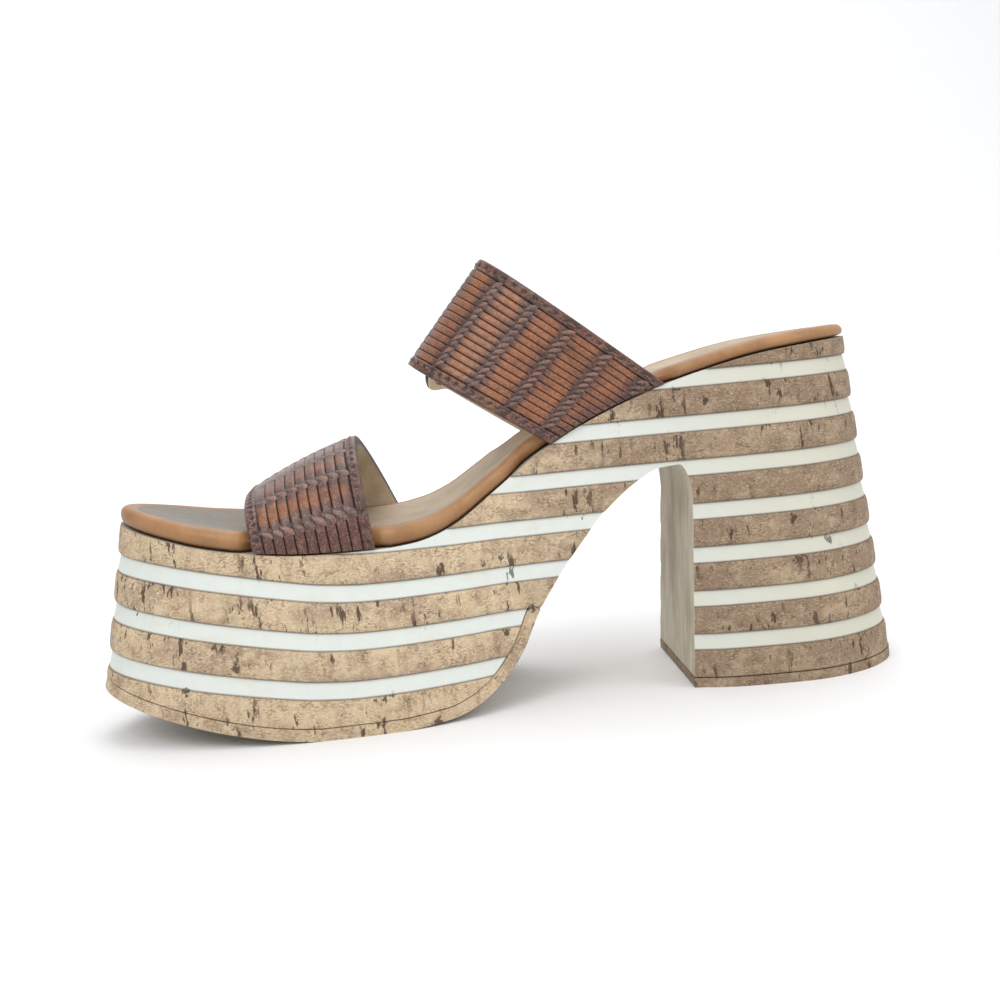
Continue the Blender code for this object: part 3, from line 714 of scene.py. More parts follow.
def bump(tree, height, distance, strength=1.0, below=None):
    inputs = {"Height": height, "Distance": distance, "Strength": strength}
    if below:
        inputs["Normal"] = below
    return node(tree, "ShaderNodeBump", inputs).outputs[0]


def band_edge_shade(tree):
    """Closeness to the edges of a pale band, from the wrap's height, for painted shade in the
    corners of its steps.
    """
    height = axis(tree, node(tree, "ShaderNodeUVMap", uv_map="wrap").outputs[0], 1)
    period = maths(tree, "DIVIDE", maths(tree, "SUBTRACT", height, BAND_FIRST), BAND_PITCH)
    within = maths(tree, "MULTIPLY", maths(tree, "FRACT", period), BAND_PITCH)
    low = maths(tree, "MINIMUM", within, maths(tree, "SUBTRACT", BAND_PITCH, within))
    high = maths(tree, "ABSOLUTE", maths(tree, "SUBTRACT", within, BAND_HEIGHT))
    return between(tree, maths(tree, "MINIMUM", low, high), *BAND_EDGE_SHADE_FADE, 1.0, 0.0)


def cracks(tree, coordinates, clusters, cut):
    """Thin upright cracks in the cork print, in clusters."""
    cluster = patches(tree, coordinates, 0.016, clusters, clusters + 0.10, (1, 1, 1.6), 2.0)
    crack = patches(tree, coordinates, 0.0021, cut, cut + 0.05, (1, 1, 3.6), 3.0, 0.62, 7.0)
    return maths(tree, "MULTIPLY", crack, cluster)


def chips(tree, coordinates, share):
    """Small chips with a ragged edge, where the print shows the bark."""
    mapping = node(tree, "ShaderNodeMapping", {
        "Vector": coordinates, "Scale": (120.0, 120.0, 95.0), "Location": (3.0, 1.0, 5.0)})
    cells = node(tree, "ShaderNodeTexVoronoi", {"Vector": mapping.outputs[0], "Scale": 1.0})
    wobble = noise_at(tree, coordinates, 0.0012, (1, 1, 1), 2.0)
    near = maths(tree, "ADD", cells.outputs["Distance"],
                 maths(tree, "MULTIPLY", maths(tree, "SUBTRACT", wobble, 0.5), 0.5))
    picked = node(tree, "ShaderNodeSeparateColor", {0: cells.outputs["Color"]}).outputs[0]
    chosen = maths(tree, "LESS_THAN", picked, share)
    return maths(tree, "MULTIPLY", between(tree, near, 0.10, 0.17, 1.0, 0.0), chosen)


def cork_print():
    """Printed cork-grain sheet wrapped round the unit.

    A matt lacquered print: warm tan with a fine bright and brown grain, broad browner
    patches, thin upright cracks of dark bark, and painted shade towards the heel, where less light
    falls.
    """
    made, tree, spot = start_material("cork_print_sheet", 0.72, Specular_IOR_Level=0.35)
    # Painted shade towards the heel: it shifts the patches browner and darkens the colour below
    heel_shade = between(tree, axis(tree, spot, 0), -0.01, 0.07)
    patch = maths(tree, "ADD", noise_at(tree, spot, 0.020, (1, 1, 0.6), 4.0, 0.65),
                  maths(tree, "MULTIPLY", heel_shade, 0.12))
    shaded = mix(tree, between(tree, patch, 0.42, 0.66), colour("#c3ad8e"), colour("#a38c74"))
    upright = patches(tree, spot, 0.0030, 0.50, 0.66, (1, 1, 4.5), 3.0, 0.6, 2.0)
    shaded = over(tree, shaded, upright, 0.42, "#967c66")
    pale = patches(tree, spot, 0.0060, 0.50, 0.66, (1, 1, 0.8), 4.0, 0.65, 5.0)
    shaded = over(tree, shaded, pale, 0.42, "#d5c3a4")
    # The print's own flecks are about half a millimetre, lying along the layers
    grain = noise_at(tree, spot, 0.00055, (1.7, 1.7, 0.9), 2.0, 0.75, 3.0)
    coarse = patches(tree, spot, 0.0032, 0.36, 0.66, (1.3, 1.3, 1.0), 3.0, 0.6, 9.0)
    dark_grain = maths(tree, "MULTIPLY", between(tree, grain, 0.40, 0.50, 1.0, 0.0), coarse)
    shaded = over(tree, shaded, dark_grain, 0.70, "#6e5540")
    shaded = over(tree, shaded, between(tree, grain, 0.55, 0.64), 0.36, "#e6d7b8")
    # Painted shade towards the heel, where less light falls
    shaded = over(tree, shaded, heel_shade, 0.90, "#d3cfcd", "MULTIPLY")
    bark = maths(tree, "MAXIMUM", cracks(tree, spot, 0.45, 0.575), chips(tree, spot, 0.16))
    shaded = over(tree, shaded, bark, 0.85, "#3b2a1d")
    # Painted shade in the corners of the pale bands' steps
    shaded = over(tree, shaded, band_edge_shade(tree), 0.62, "#5d4b3c")
    rise = maths(tree, "SUBTRACT", maths(tree, "MULTIPLY", grain, 0.5), bark)
    return finish_material(made, shaded, bump(tree, rise, 0.00018, 0.5))


def pale_band():
    """White painted foam bands between the cork layers.

    Smooth, slightly bluish white that has warmed a little at the heel, with a few of
    the print's cracks and chips showing through the paint.
    """
    made, tree, spot = start_material("white_painted_band", 0.46, Specular_IOR_Level=0.4)
    warm = between(tree, axis(tree, spot, 0), 0.02, 0.11)
    shaded = mix(tree, warm, colour("#d4d8d2"), colour("#c6c4b4"))
    stain = patches(tree, spot, 0.018, 0.56, 0.74, (1, 1, 0.4))
    shaded = over(tree, shaded, stain, 0.5, "#cfc9b0")
    soft = patches(tree, spot, 0.004, 0.35, 0.75)
    shaded = over(tree, shaded, soft, 0.14, "#b9bfbb")
    bark = maths(tree, "MAXIMUM", cracks(tree, spot, 0.56, 0.61), chips(tree, spot, 0.10))
    shaded = over(tree, shaded, bark, 0.8, "#4c4033")
    # Painted shade in the corners of the band's steps
    shaded = over(tree, shaded, band_edge_shade(tree), 0.60, "#6a6258")
    rise = maths(tree, "SUBTRACT", maths(tree, "MULTIPLY", soft, 0.3), bark)
    return finish_material(made, shaded, bump(tree, rise, 0.00012, 0.4))


def waist_wrap():
    """Taupe wrap on the breast of the heel and under the waist.

    A dull grey-brown sheet with a faint upright wood grain and rubbed paler places.
    """
    made, tree, spot = start_material("taupe_waist_wrap", 0.68, Specular_IOR_Level=0.3)
    grain = noise_at(tree, spot, 0.0016, (1, 1, 14), 4.0, 0.6)
    patch = patches(tree, spot, 0.012, 0.38, 0.66, (1, 1, 2.2))
    shaded = mix(tree, patch, colour("#cec4b0"), colour("#b2a692"))
    shaded = over(tree, shaded, between(tree, grain, 0.45, 0.68), 0.38, "#8c8070")
    speck = patches(tree, spot, 0.0010, 0.60, 0.72, (1, 1, 1), 2.0)
    shaded = over(tree, shaded, speck, 0.3, "#c0b6a4")
    return finish_material(made, shaded, bump(tree, grain, 0.00012, 0.5))


def tread_rubber():
    """Moulded rubber of the treads: dull taupe with fine scuffs from the floor."""
    made, tree, spot = start_material("taupe_tread_rubber", 0.62, Specular_IOR_Level=0.4)
    cloud = patches(tree, spot, 0.012, 0.35, 0.7, (1.8, 1, 1), 4.0)
    shaded = mix(tree, cloud, colour("#a0937f"), colour("#7b6e5e"))
    scuff = patches(tree, spot, 0.0015, 0.60, 0.74, (7, 1, 1))
    shaded = over(tree, shaded, scuff, 0.5, "#564b40")
    # Pebbled tread of about a millimetre's grain
    return finish_material(made, shaded, bump(tree, pebbles(tree, spot, 900.0), 0.0002, 0.6))


def rim_leather():
    """Caramel leather drawn over the insole's padded rim.

    Semi-gloss sheep leather: a warm tan with painted shade low down, where the rounded
    rim turns under, and the fine cross wrinkles of a stretched binding, with painted shade in
    their creases.
    """
    made, tree, spot = start_material("caramel_rim_leather", 0.42, Specular_IOR_Level=0.5)
    wrap = node(tree, "ShaderNodeUVMap", uv_map="wrap").outputs[0]
    cloud = patches(tree, spot, 0.012, 0.35, 0.7)
    shaded = mix(tree, cloud, colour("#a4794e"), colour("#91663f"))
    fold = noise_at(tree, wrap, 0.0010, (1, 4.5, 1), 3.0, 0.6)
    # Painted shade in the creases of the wrinkles
    crease_shade = between(tree, fold, 0.36, 0.50, 1.0, 0.0)
    shaded = over(tree, shaded, crease_shade, 0.14, "#7a4e28")
    # Painted shade on the lower rim, which turns away from the light
    low = between(tree, axis(tree, wrap, 1), 0.0002, 0.0042, 0.72, 0.0)
    shaded = mix(tree, low, shaded, colour("#6b4424"))
    wrinkles = bump(tree, fold, 0.00030, 0.25)
    pebble = pebbles(tree, spot, 1500.0)
    return finish_material(made, shaded, bump(tree, pebble, 0.00008, 0.35, wrinkles))


def sock_leather():
    """Sock lining on the insole: soft beige leather, greyer in the toe by a painted grazing
    reflection.

    Matt, with a very fine grain and long faint drag marks of wear.
    """
    made, tree, spot = start_material("beige_sock_leather", 0.58, Specular_IOR_Level=0.4)
    # Greyer towards the toe: a painted grazing reflection, not the leather's own colour
    toe_glare = between(tree, axis(tree, spot, 0), -0.030, -0.062)
    shaded = mix(tree, toe_glare, colour("#b8a68d"), colour("#79736b"))
    cloud = patches(tree, spot, 0.010, 0.35, 0.72, (1.6, 1, 1), 4.0)
    shaded = over(tree, shaded, cloud, 0.40, "#8d7c66")
    wear = patches(tree, spot, 0.0012, 0.58, 0.75, (5, 1, 1))
    shaded = over(tree, shaded, wear, 0.35, "#d2c4aa")
    return finish_material(made, shaded, bump(tree, pebbles(tree, spot, 1100.0), 0.0001, 0.45))


def woven_leather(name, light, warm, burnished, roughness):
    """Burnished brown leather of the woven straps.

    Embossed cow leather with a hand-rubbed finish: orange-brown in the middle of each
    field, darker beside the borders where it was burnished, darker beside the plaits
    partly by burnish and partly by painted shade, painted shade where the strips turn
    down at the feet, painted shade near black in the cuts, and a fine pebble grain,
    its light flecks partly painted highlights, under a satin coat.
    """
    made, tree, spot = start_material(name, roughness, Specular_IOR_Level=0.55,
                                      Coat_Weight=0.12, Coat_Roughness=0.35)
    burnish_and_shade = node(tree, "ShaderNodeAttribute", attribute_name="burnish_and_shade").outputs["Fac"]
    cut = node(tree, "ShaderNodeAttribute", attribute_name="cut").outputs["Fac"]
    cloud = noise_at(tree, spot, 0.006)
    shaded = mix(tree, between(tree, cloud, 0.40, 0.66), colour(light), colour(warm))
    # Burnish, with painted shade beside the plaits and at the feet, darkens the field
    rubbed_and_shaded = maths(tree, "ADD", burnish_and_shade, maths(tree, "MULTIPLY",
                   maths(tree, "SUBTRACT", cloud, 0.5), 0.9))
    shaded = mix(tree, between(tree, rubbed_and_shaded, 0.15, 0.95), shaded, colour(burnished))
    grain = noise_at(tree, spot, 0.0007, (1, 1, 1), 2.0, 0.6, 4.0)
    # Light flecks of the grain, partly painted pebble highlights
    shaded = mix(tree, between(tree, grain, 0.48, 0.64, 0.0, 0.30), shaded, colour("#b07e5f"))
    shaded = mix(tree, between(tree, grain, 0.34, 0.48, 0.38, 0.0), shaded, colour("#47241a"))
    # Painted shade, near black, in the cuts, stitch holes and gaps round the leaves
    shaded = mix(tree, cut, shaded, colour("#1f0e08"))
    crumple = bump(tree, noise_at(tree, spot, 0.0022, (1, 1, 1), 2.0), 0.0003, 0.35)
    pebble = pebbles(tree, spot, 1500.0)
    return finish_material(made, shaded, bump(tree, pebble, 0.00012, 0.55, crumple))


def lining_leather():
    """Beige pigskin lining: matt, with tiny darker pores and soft darker places."""
    made, tree, spot = start_material("beige_lining_leather", 0.62, Specular_IOR_Level=0.35)
    cloud = patches(tree, spot, 0.009, 0.36, 0.7)
    shaded = mix(tree, cloud, colour("#e8dac4"), colour("#d2c3aa"))
    pore = pebbles(tree, spot, 700.0)
    shaded = mix(tree, between(tree, pore, 0.05, 0.22, 0.35, 0.0), shaded, colour("#7c6d58"))
    return finish_material(made, shaded, bump(tree, pore, 0.0001, 0.4))


def plain_leather(name, base, shade, roughness, coat):
    """Smooth dyed leather or edge paint: a deep brown with a pebble grain and a sheen."""
    made, tree, spot = start_material(name, roughness, Specular_IOR_Level=0.5,
                                      Coat_Weight=coat, Coat_Roughness=0.3)
    cloud = patches(tree, spot, 0.005, 0.35, 0.7, (1, 1, 1), 4.0)
    shaded = mix(tree, cloud, colour(base), colour(shade))
    return finish_material(made, shaded, bump(tree, pebbles(tree, spot, 1400.0), 0.0001, 0.45))


def waxed_thread():
    """Waxed polyester thread, tone on tone with the leather, in light and dark flecks."""
    made, tree, spot = start_material("waxed_brown_thread", 0.55)
    twist = noise_at(tree, spot, 0.0006, (1, 1, 1), 2.0)
    shaded = mix(tree, between(tree, twist, 0.4, 0.6), colour("#8a6152"), colour("#55342a"))
    return finish_material(made, shaded, bump(tree, twist, 0.0001, 0.6))


def antique_brass():
    """Cast zinc with an antique brass plate: warm, rubbed bright, with darker tarnish."""
    made, tree, spot = start_material("antique_brass_plate", 0.30, Metallic=1.0)
    tarnish = noise_at(tree, spot, 0.0016, (1, 1, 1), 4.0, 0.65)
    shaded = mix(tree, between(tree, tarnish, 0.44, 0.76), colour("#c9a468"), colour("#8a6a3e"))
    rough = between(tree, tarnish, 0.4, 0.7, 0.24, 0.46)
    return finish_material(made, shaded, bump(tree, tarnish, 0.00006, 0.4), rough)


CORK = cork_print()
PALE = pale_band()
WAIST = waist_wrap()
RUBBER = tread_rubber()
RIM_LEATHER = rim_leather()
SOCK = sock_leather()
WOVEN = woven_leather("burnished_woven_leather", "#8b5533", "#75462b", "#4d2d26", 0.36)
PLAIT = woven_leather("plaited_burnished_leather", "#7d5a4f", "#6e4e46", "#56423f", 0.42)
LINING = lining_leather()
EDGE_PAINT = plain_leather("dark_edge_paint", "#40261b", "#2e1a12", 0.62, 0.0)
TAB_LEATHER = plain_leather("brown_tab_leather", "#5c3421", "#472617", 0.42, 0.15)
DARK_LEATHER = plain_leather("dark_brown_billet_leather", "#3f281f", "#2c1b15", 0.46, 0.12)
THREAD_FINISH = waxed_thread()
BRASS = antique_brass()


# Sole


def side_rows():
    """Rows up the unit's side: height in the heel, inset, and finish of what is above."""
    cork, pale = 0, 1

    def rounding(share):
        return share * (CORK_EDGE if share > 0 else CORK_BULGE)

    rows = [(-0.0010, 0.0, cork), (0.0060, 0.0, cork)]
    for i in range(BAND_COUNT + 1):
        low = BAND_FIRST + BAND_PITCH * i
        rows += [(low - away, rounding(share), cork) for away, share in CORK_UNDER_BAND]
        if i == BAND_COUNT:
            break
        rows.append((low, BAND_DEPTH_BOTTOM, pale))
        for share in BAND_SHARES:
            deeper = (BAND_DEPTH_TOP - BAND_DEPTH_BOTTOM) * share ** BAND_SLOPE
            rows.append((low + BAND_HEIGHT * share, BAND_DEPTH_BOTTOM + deeper, pale))
        high = low + BAND_HEIGHT
        rows.append((high, BAND_DEPTH_TOP, cork))
        rows += [(high + away, rounding(share), cork) for away, share in CORK_OVER_BAND]
    return rows


def side_view_plate():
    """A slab across the shoe whose outline is the unit's side view."""
    back, front = -PLATE_OVERHANG, LENGTH + PLATE_OVERHANG
    seat = LIFT_THICKNESS + CLEARANCE
    breast = breast_line(14)
    rake = BREAST_RAKE / BREAST_HEIGHT
    outline = [(back, seat), (BREAST_AT_FLOOR - rake * seat, seat)] + breast[1:-1]
    rear = OUTSOLE_START - CLEARANCE / 3
    outline += [(x, underside(x)) for x in spaced(breast[-1][0], rear, 40)]
    depth = OUTSOLE_THICKNESS + CLEARANCE
    for along in spaced(rear, LENGTH, 70) + [front]:
        (x, z), (nx, nz) = tread_frame(along)
        outline.append((x + nx * depth, z + nz * depth))
    outline += [(x, feather(x)) for x in reversed(spaced(back, front, 120))]
    bm = bmesh.new()
    bmesh.ops.create_circle(bm, segments=len(outline), cap_ends=True)
    bm.verts.ensure_lookup_table()
    for vert, (along, height) in zip(bm.verts, outline):
        vert.co = (ORIGIN_ALONG - along, -PLATE_HALF, height)
    bmesh.ops.translate(bm, verts=pulled_out(bm), vec=(0.0, 2 * PLATE_HALF, 0.0))
    for face in bm.faces:
        face.material_index = 2
    bmesh.ops.recalc_face_normals(bm, faces=bm.faces)
    return bm


def build_unit():
    """Cork-wrapped platform and heel, with rounded layers and the pale bands let in."""
    shares = side_shares(110)
    rows = side_rows()
    rings = []
    for height, depth, _ in rows:
        flat, heights = [], []
        for share, side in shares:
            along = edge(share, side, 0.5)[0]
            heights.append(layer(height, along))
            flat.append(edge(share, side, level_at(along, heights[-1])))
        flat = inset(flat, [depth] * len(flat))
        rings.append([place(x, y, z) for (x, y), z in zip(flat, heights)])
    rings.insert(0, [Vector((v.x, v.y, LOFT_BOTTOM)) for v in rings[0]])
    rings.append([Vector((v.x, v.y, LOFT_TOP)) for v in rings[-1]])
    levels = [LOFT_BOTTOM] + [row[0] for row in rows] + [LOFT_TOP]
    finishes = [0] + [row[2] for row in rows]
    count = len(shares)
    middle = rings[len(rings) // 2]
    around = [0.0]
    for i in range(count):
        around.append(around[-1] + (middle[(i + 1) % count] - middle[i]).length)
    bm = bent_grid(count, len(rings) - 1, lambda i, j: rings[j][i % count],
                   lambda i, j: finishes[j], lambda i, j: (around[i], levels[j]))
    close_up(bm)
    coverings = (CORK, PALE, WAIST)
    loft = linked("unit_loft", as_mesh("unit_loft", bm, coverings))
    plate = linked("plate", as_mesh("side_view_plate", side_view_plate(), coverings))
    cut = loft.modifiers.new("side view", "BOOLEAN")
    cut.operation = "INTERSECT"
    cut.solver = "EXACT"
    cut.material_mode = "INDEX"
    cut.object = plate
    bpy.context.view_layer.update()
    graph = bpy.context.evaluated_depsgraph_get()
    whole = bpy.data.meshes.new_from_object(loft.evaluated_get(graph))
    for obj in (loft, plate):
        bpy.data.objects.remove(obj)
    bm = bmesh.new()
    bm.from_mesh(whole)
    bpy.data.meshes.remove(whole)
    bmesh.ops.remove_doubles(bm, verts=bm.verts, dist=0.00002)
    finished("cork_unit", bm, ["sole_unit"], coverings)


def slab(name, stations, height_at, thickness, rounding, columns, replaced):
    """A tread piece: a sheet along its stations, thickened into the sole and rounded below."""
    rows = len(stations) - 1

    def spot(i, j):
        x = stations[j]
        level = height_at(x)
        medial, lateral = edge_at(x, MEDIAL, level), edge_at(x, LATERAL, level)
        return place(x, medial + (lateral - medial) * i / columns, level)

    def into_sole(along):
        nx, nz = tread_frame(along)[1] if height_at is underside else (0.0, 1.0)
        return Vector((-nx, 0.0, nz))

    bm = bent_grid(columns, rows, spot)
    bmesh.ops.remove_doubles(bm, verts=bm.verts, dist=0.00005)
    bmesh.ops.recalc_face_normals(bm, faces=bm.faces)
    if sum(face.normal.z for face in bm.faces) > 0:
        bmesh.ops.reverse_faces(bm, faces=bm.faces)
    rim = [e for e in bm.edges if e.is_boundary]
    for vert in pulled_out(bm):
        vert.co += into_sole(ORIGIN_ALONG - vert.co.x) * thickness
    bmesh.ops.recalc_face_normals(bm, faces=bm.faces)
    bottom = [e for e in rim if e.is_valid and all(
        ORIGIN_ALONG - v.co.x > stations[0] + 0.0005 or height_at is not underside
        for v in e.verts)]
    bmesh.ops.bevel(bm, geom=bottom, offset=rounding, segments=4, profile=0.5,
                    affect="EDGES", material=-1, clamp_overlap=True)
    for face in bm.faces:
        inwards = into_sole(ORIGIN_ALONG - face.calc_center_median().x)
        face.material_index = 1 if face.normal.dot(inwards) < -0.8 else 0
    finished(name, bm, replaced, (CORK, RUBBER))


def build_treads():
    """Forefoot outsole and heel lift, edged with the same cork print."""
    bend = LENGTH - OUTSOLE_BEND
    stations = spaced(OUTSOLE_START, bend, 60)
    stations += [bend + OUTSOLE_BEND * math.sin(QUARTER_TURN * i / 24) for i in range(1, 25)]
    slab("forefoot_tread", stations, underside, OUTSOLE_THICKNESS, OUTSOLE_ROUND, 24,
         ["forefoot_outsole"])
    heel = [BREAST_AT_FLOOR * (1 - math.cos(QUARTER_TURN * i / 36)) for i in range(37)]
    slab("heel_top_piece", heel, lambda x: 0.0, LIFT_THICKNESS, LIFT_ROUND, 16,
         ["heel_lift"])


def build_insole():
    """Padded insole: leather drawn over a rounded rim, and a sock let into its top."""
    shares = side_shares(120)
    count = len(shares)
    base = [edge(share, side, 1.0) for share, side in shares]
    pressed = [notch(x, side) for (x, _), (_, side) in zip(base, shares)]

    def rim_rise(along, medial):
        share = ease((along - RIM_GROWTH_START) / RIM_GROWTH_LENGTH)
        full = RIM_HEIGHT_AT_HEEL + (RIM_HEIGHT - RIM_HEIGHT_AT_HEEL) * share
        return full - RIM_DROP_LATERAL * ease(0.5 - medial / BALL_HALF_BREADTH)

    def spine(share):
        x = edge(share, MEDIAL, 1.0)[0]
        x = min(max(x, INSOLE_KEEL_START), LENGTH - INSOLE_KEEL_END)
        return x, BALL_HALF_BREADTH * FEATHER_OUTLINE.read("swing", x / LENGTH)

    keel = [spine(share) for share, _ in shares]
    rings = [[(x, y, feather(x) + INSOLE_SEAT) for x, y in keel]]
    travel = [0.0]
    for step in spaced(0.0, 5.0, 16):
        amounts = [RIM.read("inset", step) * RIM_ROUND + press for press in pressed]
        ring = []
        for x, y in inset(base, amounts):
            z = feather(x) + INSOLE_SEAT + RIM.read("height", step) * rim_rise(x, y)
            ring.append((x, y, z))
        rings.append(ring)
        travel.append(step / 5.0 * RIM_GIRTH)
    brim = rings[-1]
    edge_row = len(rings) - 1
    for share in [SOCK_GROOVE_SHARE, 0.035, 0.06] + spaced(0.10, 1.0, 16):
        ring = []
        for (x, y, _), (spine_x, spine_y) in zip(brim, keel):
            inner_x = x + (spine_x - x) * share
            inner_y = y + (spine_y - y) * share
            sunk = INSOLE_DISH * math.sin(QUARTER_TURN * share)
            groove = SOCK_GROOVE if share == SOCK_GROOVE_SHARE else 0.0
            top = feather(inner_x) + INSOLE_SEAT + rim_rise(inner_x, inner_y)
            ring.append((inner_x, inner_y, top - sunk - groove))
        rings.append(ring)
        travel.append(RIM_GIRTH + share * SOCK_HALF_WIDTH)
    around = [0.0]
    for i in range(count):
        (x0, y0), (x1, y1) = base[i], base[(i + 1) % count]
        around.append(around[-1] + math.hypot(x1 - x0, y1 - y0))
    bm = bent_grid(count, len(rings) - 1, lambda i, j: place(*rings[j][i % count]),
                   lambda i, j: 0 if j <= edge_row else 1,
                   lambda i, j: (around[i], travel[j]))
    close_up(bm, 0.00003)
    insole = finished("padded_insole", bm, ["insole"], (RIM_LEATHER, SOCK), 60)


# Straps


class Weave:
    """Where the strips, plait rows and stitches lie on a strap.

    A plait row crosses the strap at a run from the medial foot, given at the rear edge,
    that leans by its skew towards the front edge, where the rows also lie further apart.
    """

    def __init__(self, arch, strips, first_row, skew, pitch, spread, last_run, tint):
        self.arch, self.strips = arch, strips
        self.tint = tint
        self.first_row, self.skew = first_row, skew
        self.pitch, self.spread = pitch, spread
        self.last_run = last_run
        self.width = arch.width(0.25)
        self.border = STRAP_BORDER / self.width

    def row_pitch(self, across):
        return self.pitch + self.spread * across

    def row_run(self, number, across):
        return self.first_row - self.skew * across + self.row_pitch(across) * number

    def row_distance(self, across, run):
        """Distance from the nearest plait row, along the strips."""
        share = (run - self.first_row + self.skew * across) / self.row_pitch(across)
        return abs(share - round(share)) * self.row_pitch(across)

    def strip_edges(self):
        inner = 1 - 2 * self.border
        return [self.border + inner * i / self.strips for i in range(self.strips + 1)]


def strap_profile(weave):
    """Corners across a strap's outer face: share across, height share, and painted shade of the
    cut.
    """
    border = [(0.0, -0.5, 0.0), (0.0, 0.55, 0.0)]
    border += [(distance / weave.width, rise, 0.0) for distance, rise in BORDER_SHAPE]
    edges = weave.strip_edges()
    strips = [(edges[0], 0.05, 1.0)]
    for a, b in zip(edges, edges[1:]):
        strips += [(a + (b - a) * share, rise, cut) for share, rise, cut in STRIP_SHAPE]
    mirrored = [(1 - across, rise, 0.0) for across, rise, _ in reversed(border)]
    return border + strips + mirrored


def build_woven_strap(name, weave, replaced):
    """Strap of raised strips between stitched borders, lined and edge-painted."""
    arch = weave.arch
    outer = strap_profile(weave)
    inner = [(across, None, 0.0) for across in reversed(spaced(0.0, 1.0, 12))]
    section = outer + inner[1:-1]
    count = len(section)
    step = WEAVE_STEP * 1.0
    rows = max(int(weave.last_run / step), 8)
    runs = spaced(0.0, weave.last_run, rows)
    half = STRAP_WALL / 2
    holes_at = STITCH_INSET / weave.width

    def dimple(across, run):
        """Closeness to a stitch hole."""
        side = min(abs(across - holes_at), abs(across - 1 + holes_at)) * weave.width
        share = run / STITCH_PITCH - 0.5
        distance = math.hypot(side, abs(share - round(share)) * STITCH_PITCH)
        return ease(1.35 - distance / STITCH_HOLE)

    def spot(i, j):
        across, rise, _ = section[i % count]
        around = arch.around_at(runs[j])
        if rise is None:
            return arch.point(across, around, -half)
        out = half + STRIP_RELIEF * rise if rise >= 0 else -half
        out -= STITCH_HOLE_DEPTH * dimple(across, runs[j])
        return arch.point(across, around, out)

    def finish(i, j):
        leather, lining, paint = 0, 1, 2
        if i == 0 or i == len(outer) - 2:
            return paint
        return leather if i < len(outer) - 1 else lining

    bm = bent_grid(count, rows, spot, finish)
    burnish_and_shade = bm.verts.layers.float.new("burnish_and_shade")
    cut = bm.verts.layers.float.new("cut")
    bm.verts.ensure_lookup_table()
    for index, vert in enumerate(bm.verts):
        i, j = index % (count + 1), index // (count + 1)
        across, rise, dark = section[i % count]
        if rise is None:
            continue
        run = runs[j]
        from_row = weave.row_distance(across, run)
        from_edge = min(across, 1 - across) * weave.width
        # Beside a plait row the strip darkens, partly burnish and partly painted shade
        near_row = ease(1.3 - from_row / BURNISH_AND_SHADE_BESIDE_ROW)
        near_edge = ease(1.3 - from_edge / BURNISH_BESIDE_EDGE)
        # Painted shade where the strips turn down at the foot
        near_foot = ease(1.0 - run / SHADE_BY_FOOT)
        # Painted shadow in the gap round each leaf
        leaf_shadow = 0.62 * ease(1.9 - from_row / LEAF_SHADOW_REACH)
        vert[burnish_and_shade] = weave.tint + max(near_row * 0.85, near_edge * 0.8, near_foot)
        # The cut attribute is painted shade: in the cuts, the stitch holes and round the leaves
        vert[cut] = max(dark, dimple(across, run) * 0.9, leaf_shadow)
    close_up(bm, 0.000005, 2)
    finished(name, bm, replaced, (WOVEN, LINING, EDGE_PAINT), 50)


def plait_bit(weave, strip, number, generator):
    """One slanted leaf of a plait, over a single strip."""
    edges = weave.strip_edges()
    middle = (edges[strip] + edges[strip + 1]) / 2
    lift = STRAP_WALL / 2 + STRIP_RELIEF * 0.75
    strip_width = (edges[1] - edges[0]) * weave.width
    half_length = PLAIT_HALF_LENGTH_SHARE * strip_width
    half_width = PLAIT_HALF_WIDTH_SHARE * strip_width
    size = generator.uniform(0.94, 1.06)
    slant = PLAIT_SLANT + generator.uniform(-0.08, 0.08)
    ahead = (math.cos(slant), math.sin(slant))
    columns, rows = 10, 8

    def spot(i, j):
        u = math.sin(QUARTER_TURN * (2 * i / columns - 1))
        v = math.sin(QUARTER_TURN * (2 * j / rows - 1))
        long = half_length * size * u
        wide = half_width * v * max(1 - abs(u) ** 2.0, 0.02) ** 0.6
        across = middle + (ahead[0] * long - ahead[1] * wide) / weave.width
        run = weave.row_run(number, middle) + ahead[1] * long + ahead[0] * wide
        height = max((1 - abs(u) ** 2.6) * (1 - abs(v) ** 2.4), 0.0) ** 0.6
        # The leading end of each leaf dives under the one before it
        out = lift - PLAIT_SINK + (PLAIT_RISE + PLAIT_SINK) * height * size - PLAIT_TILT * u
        run = min(max(run, 0.0), weave.last_run)
        across = min(max(across, 0.01), 0.99)
        return weave.arch.point(across, weave.arch.around_at(run), out)

    bm = bent_grid(columns, rows, spot)
    burnish_and_shade = bm.verts.layers.float.new("burnish_and_shade")
    cut = bm.verts.layers.float.new("cut")
    tone = generator.uniform(0.25, 0.8)
    for index, vert in enumerate(bm.verts):
        u = abs(2 * (index % (columns + 1)) / columns - 1)
        v = abs(2 * (index // (columns + 1)) / rows - 1)
        rim = max(u, v)
        vert[burnish_and_shade] = tone
        # Painted shade round the leaf's edge, where it sinks into the strip
        vert[cut] = 1.0 if rim > 0.9 else (0.45 if rim > 0.74 else 0.0)
    close_up(bm)
    return bm


def build_plaits(name, weave):
    """The rows of plait bits that cross a strap, as far as its ends."""
    generator = random.Random(11)
    bits = []
    for number in range(-3, 14):
        for strip in range(weave.strips):
            run = weave.row_run(number, (strip + 0.5) / weave.strips)
            if PLAIT_END_MARGIN < run < weave.last_run - PLAIT_END_MARGIN:
                bits.append(plait_bit(weave, strip, number, generator))
    finished(name, joined(bits), None, (PLAIT,), 60)


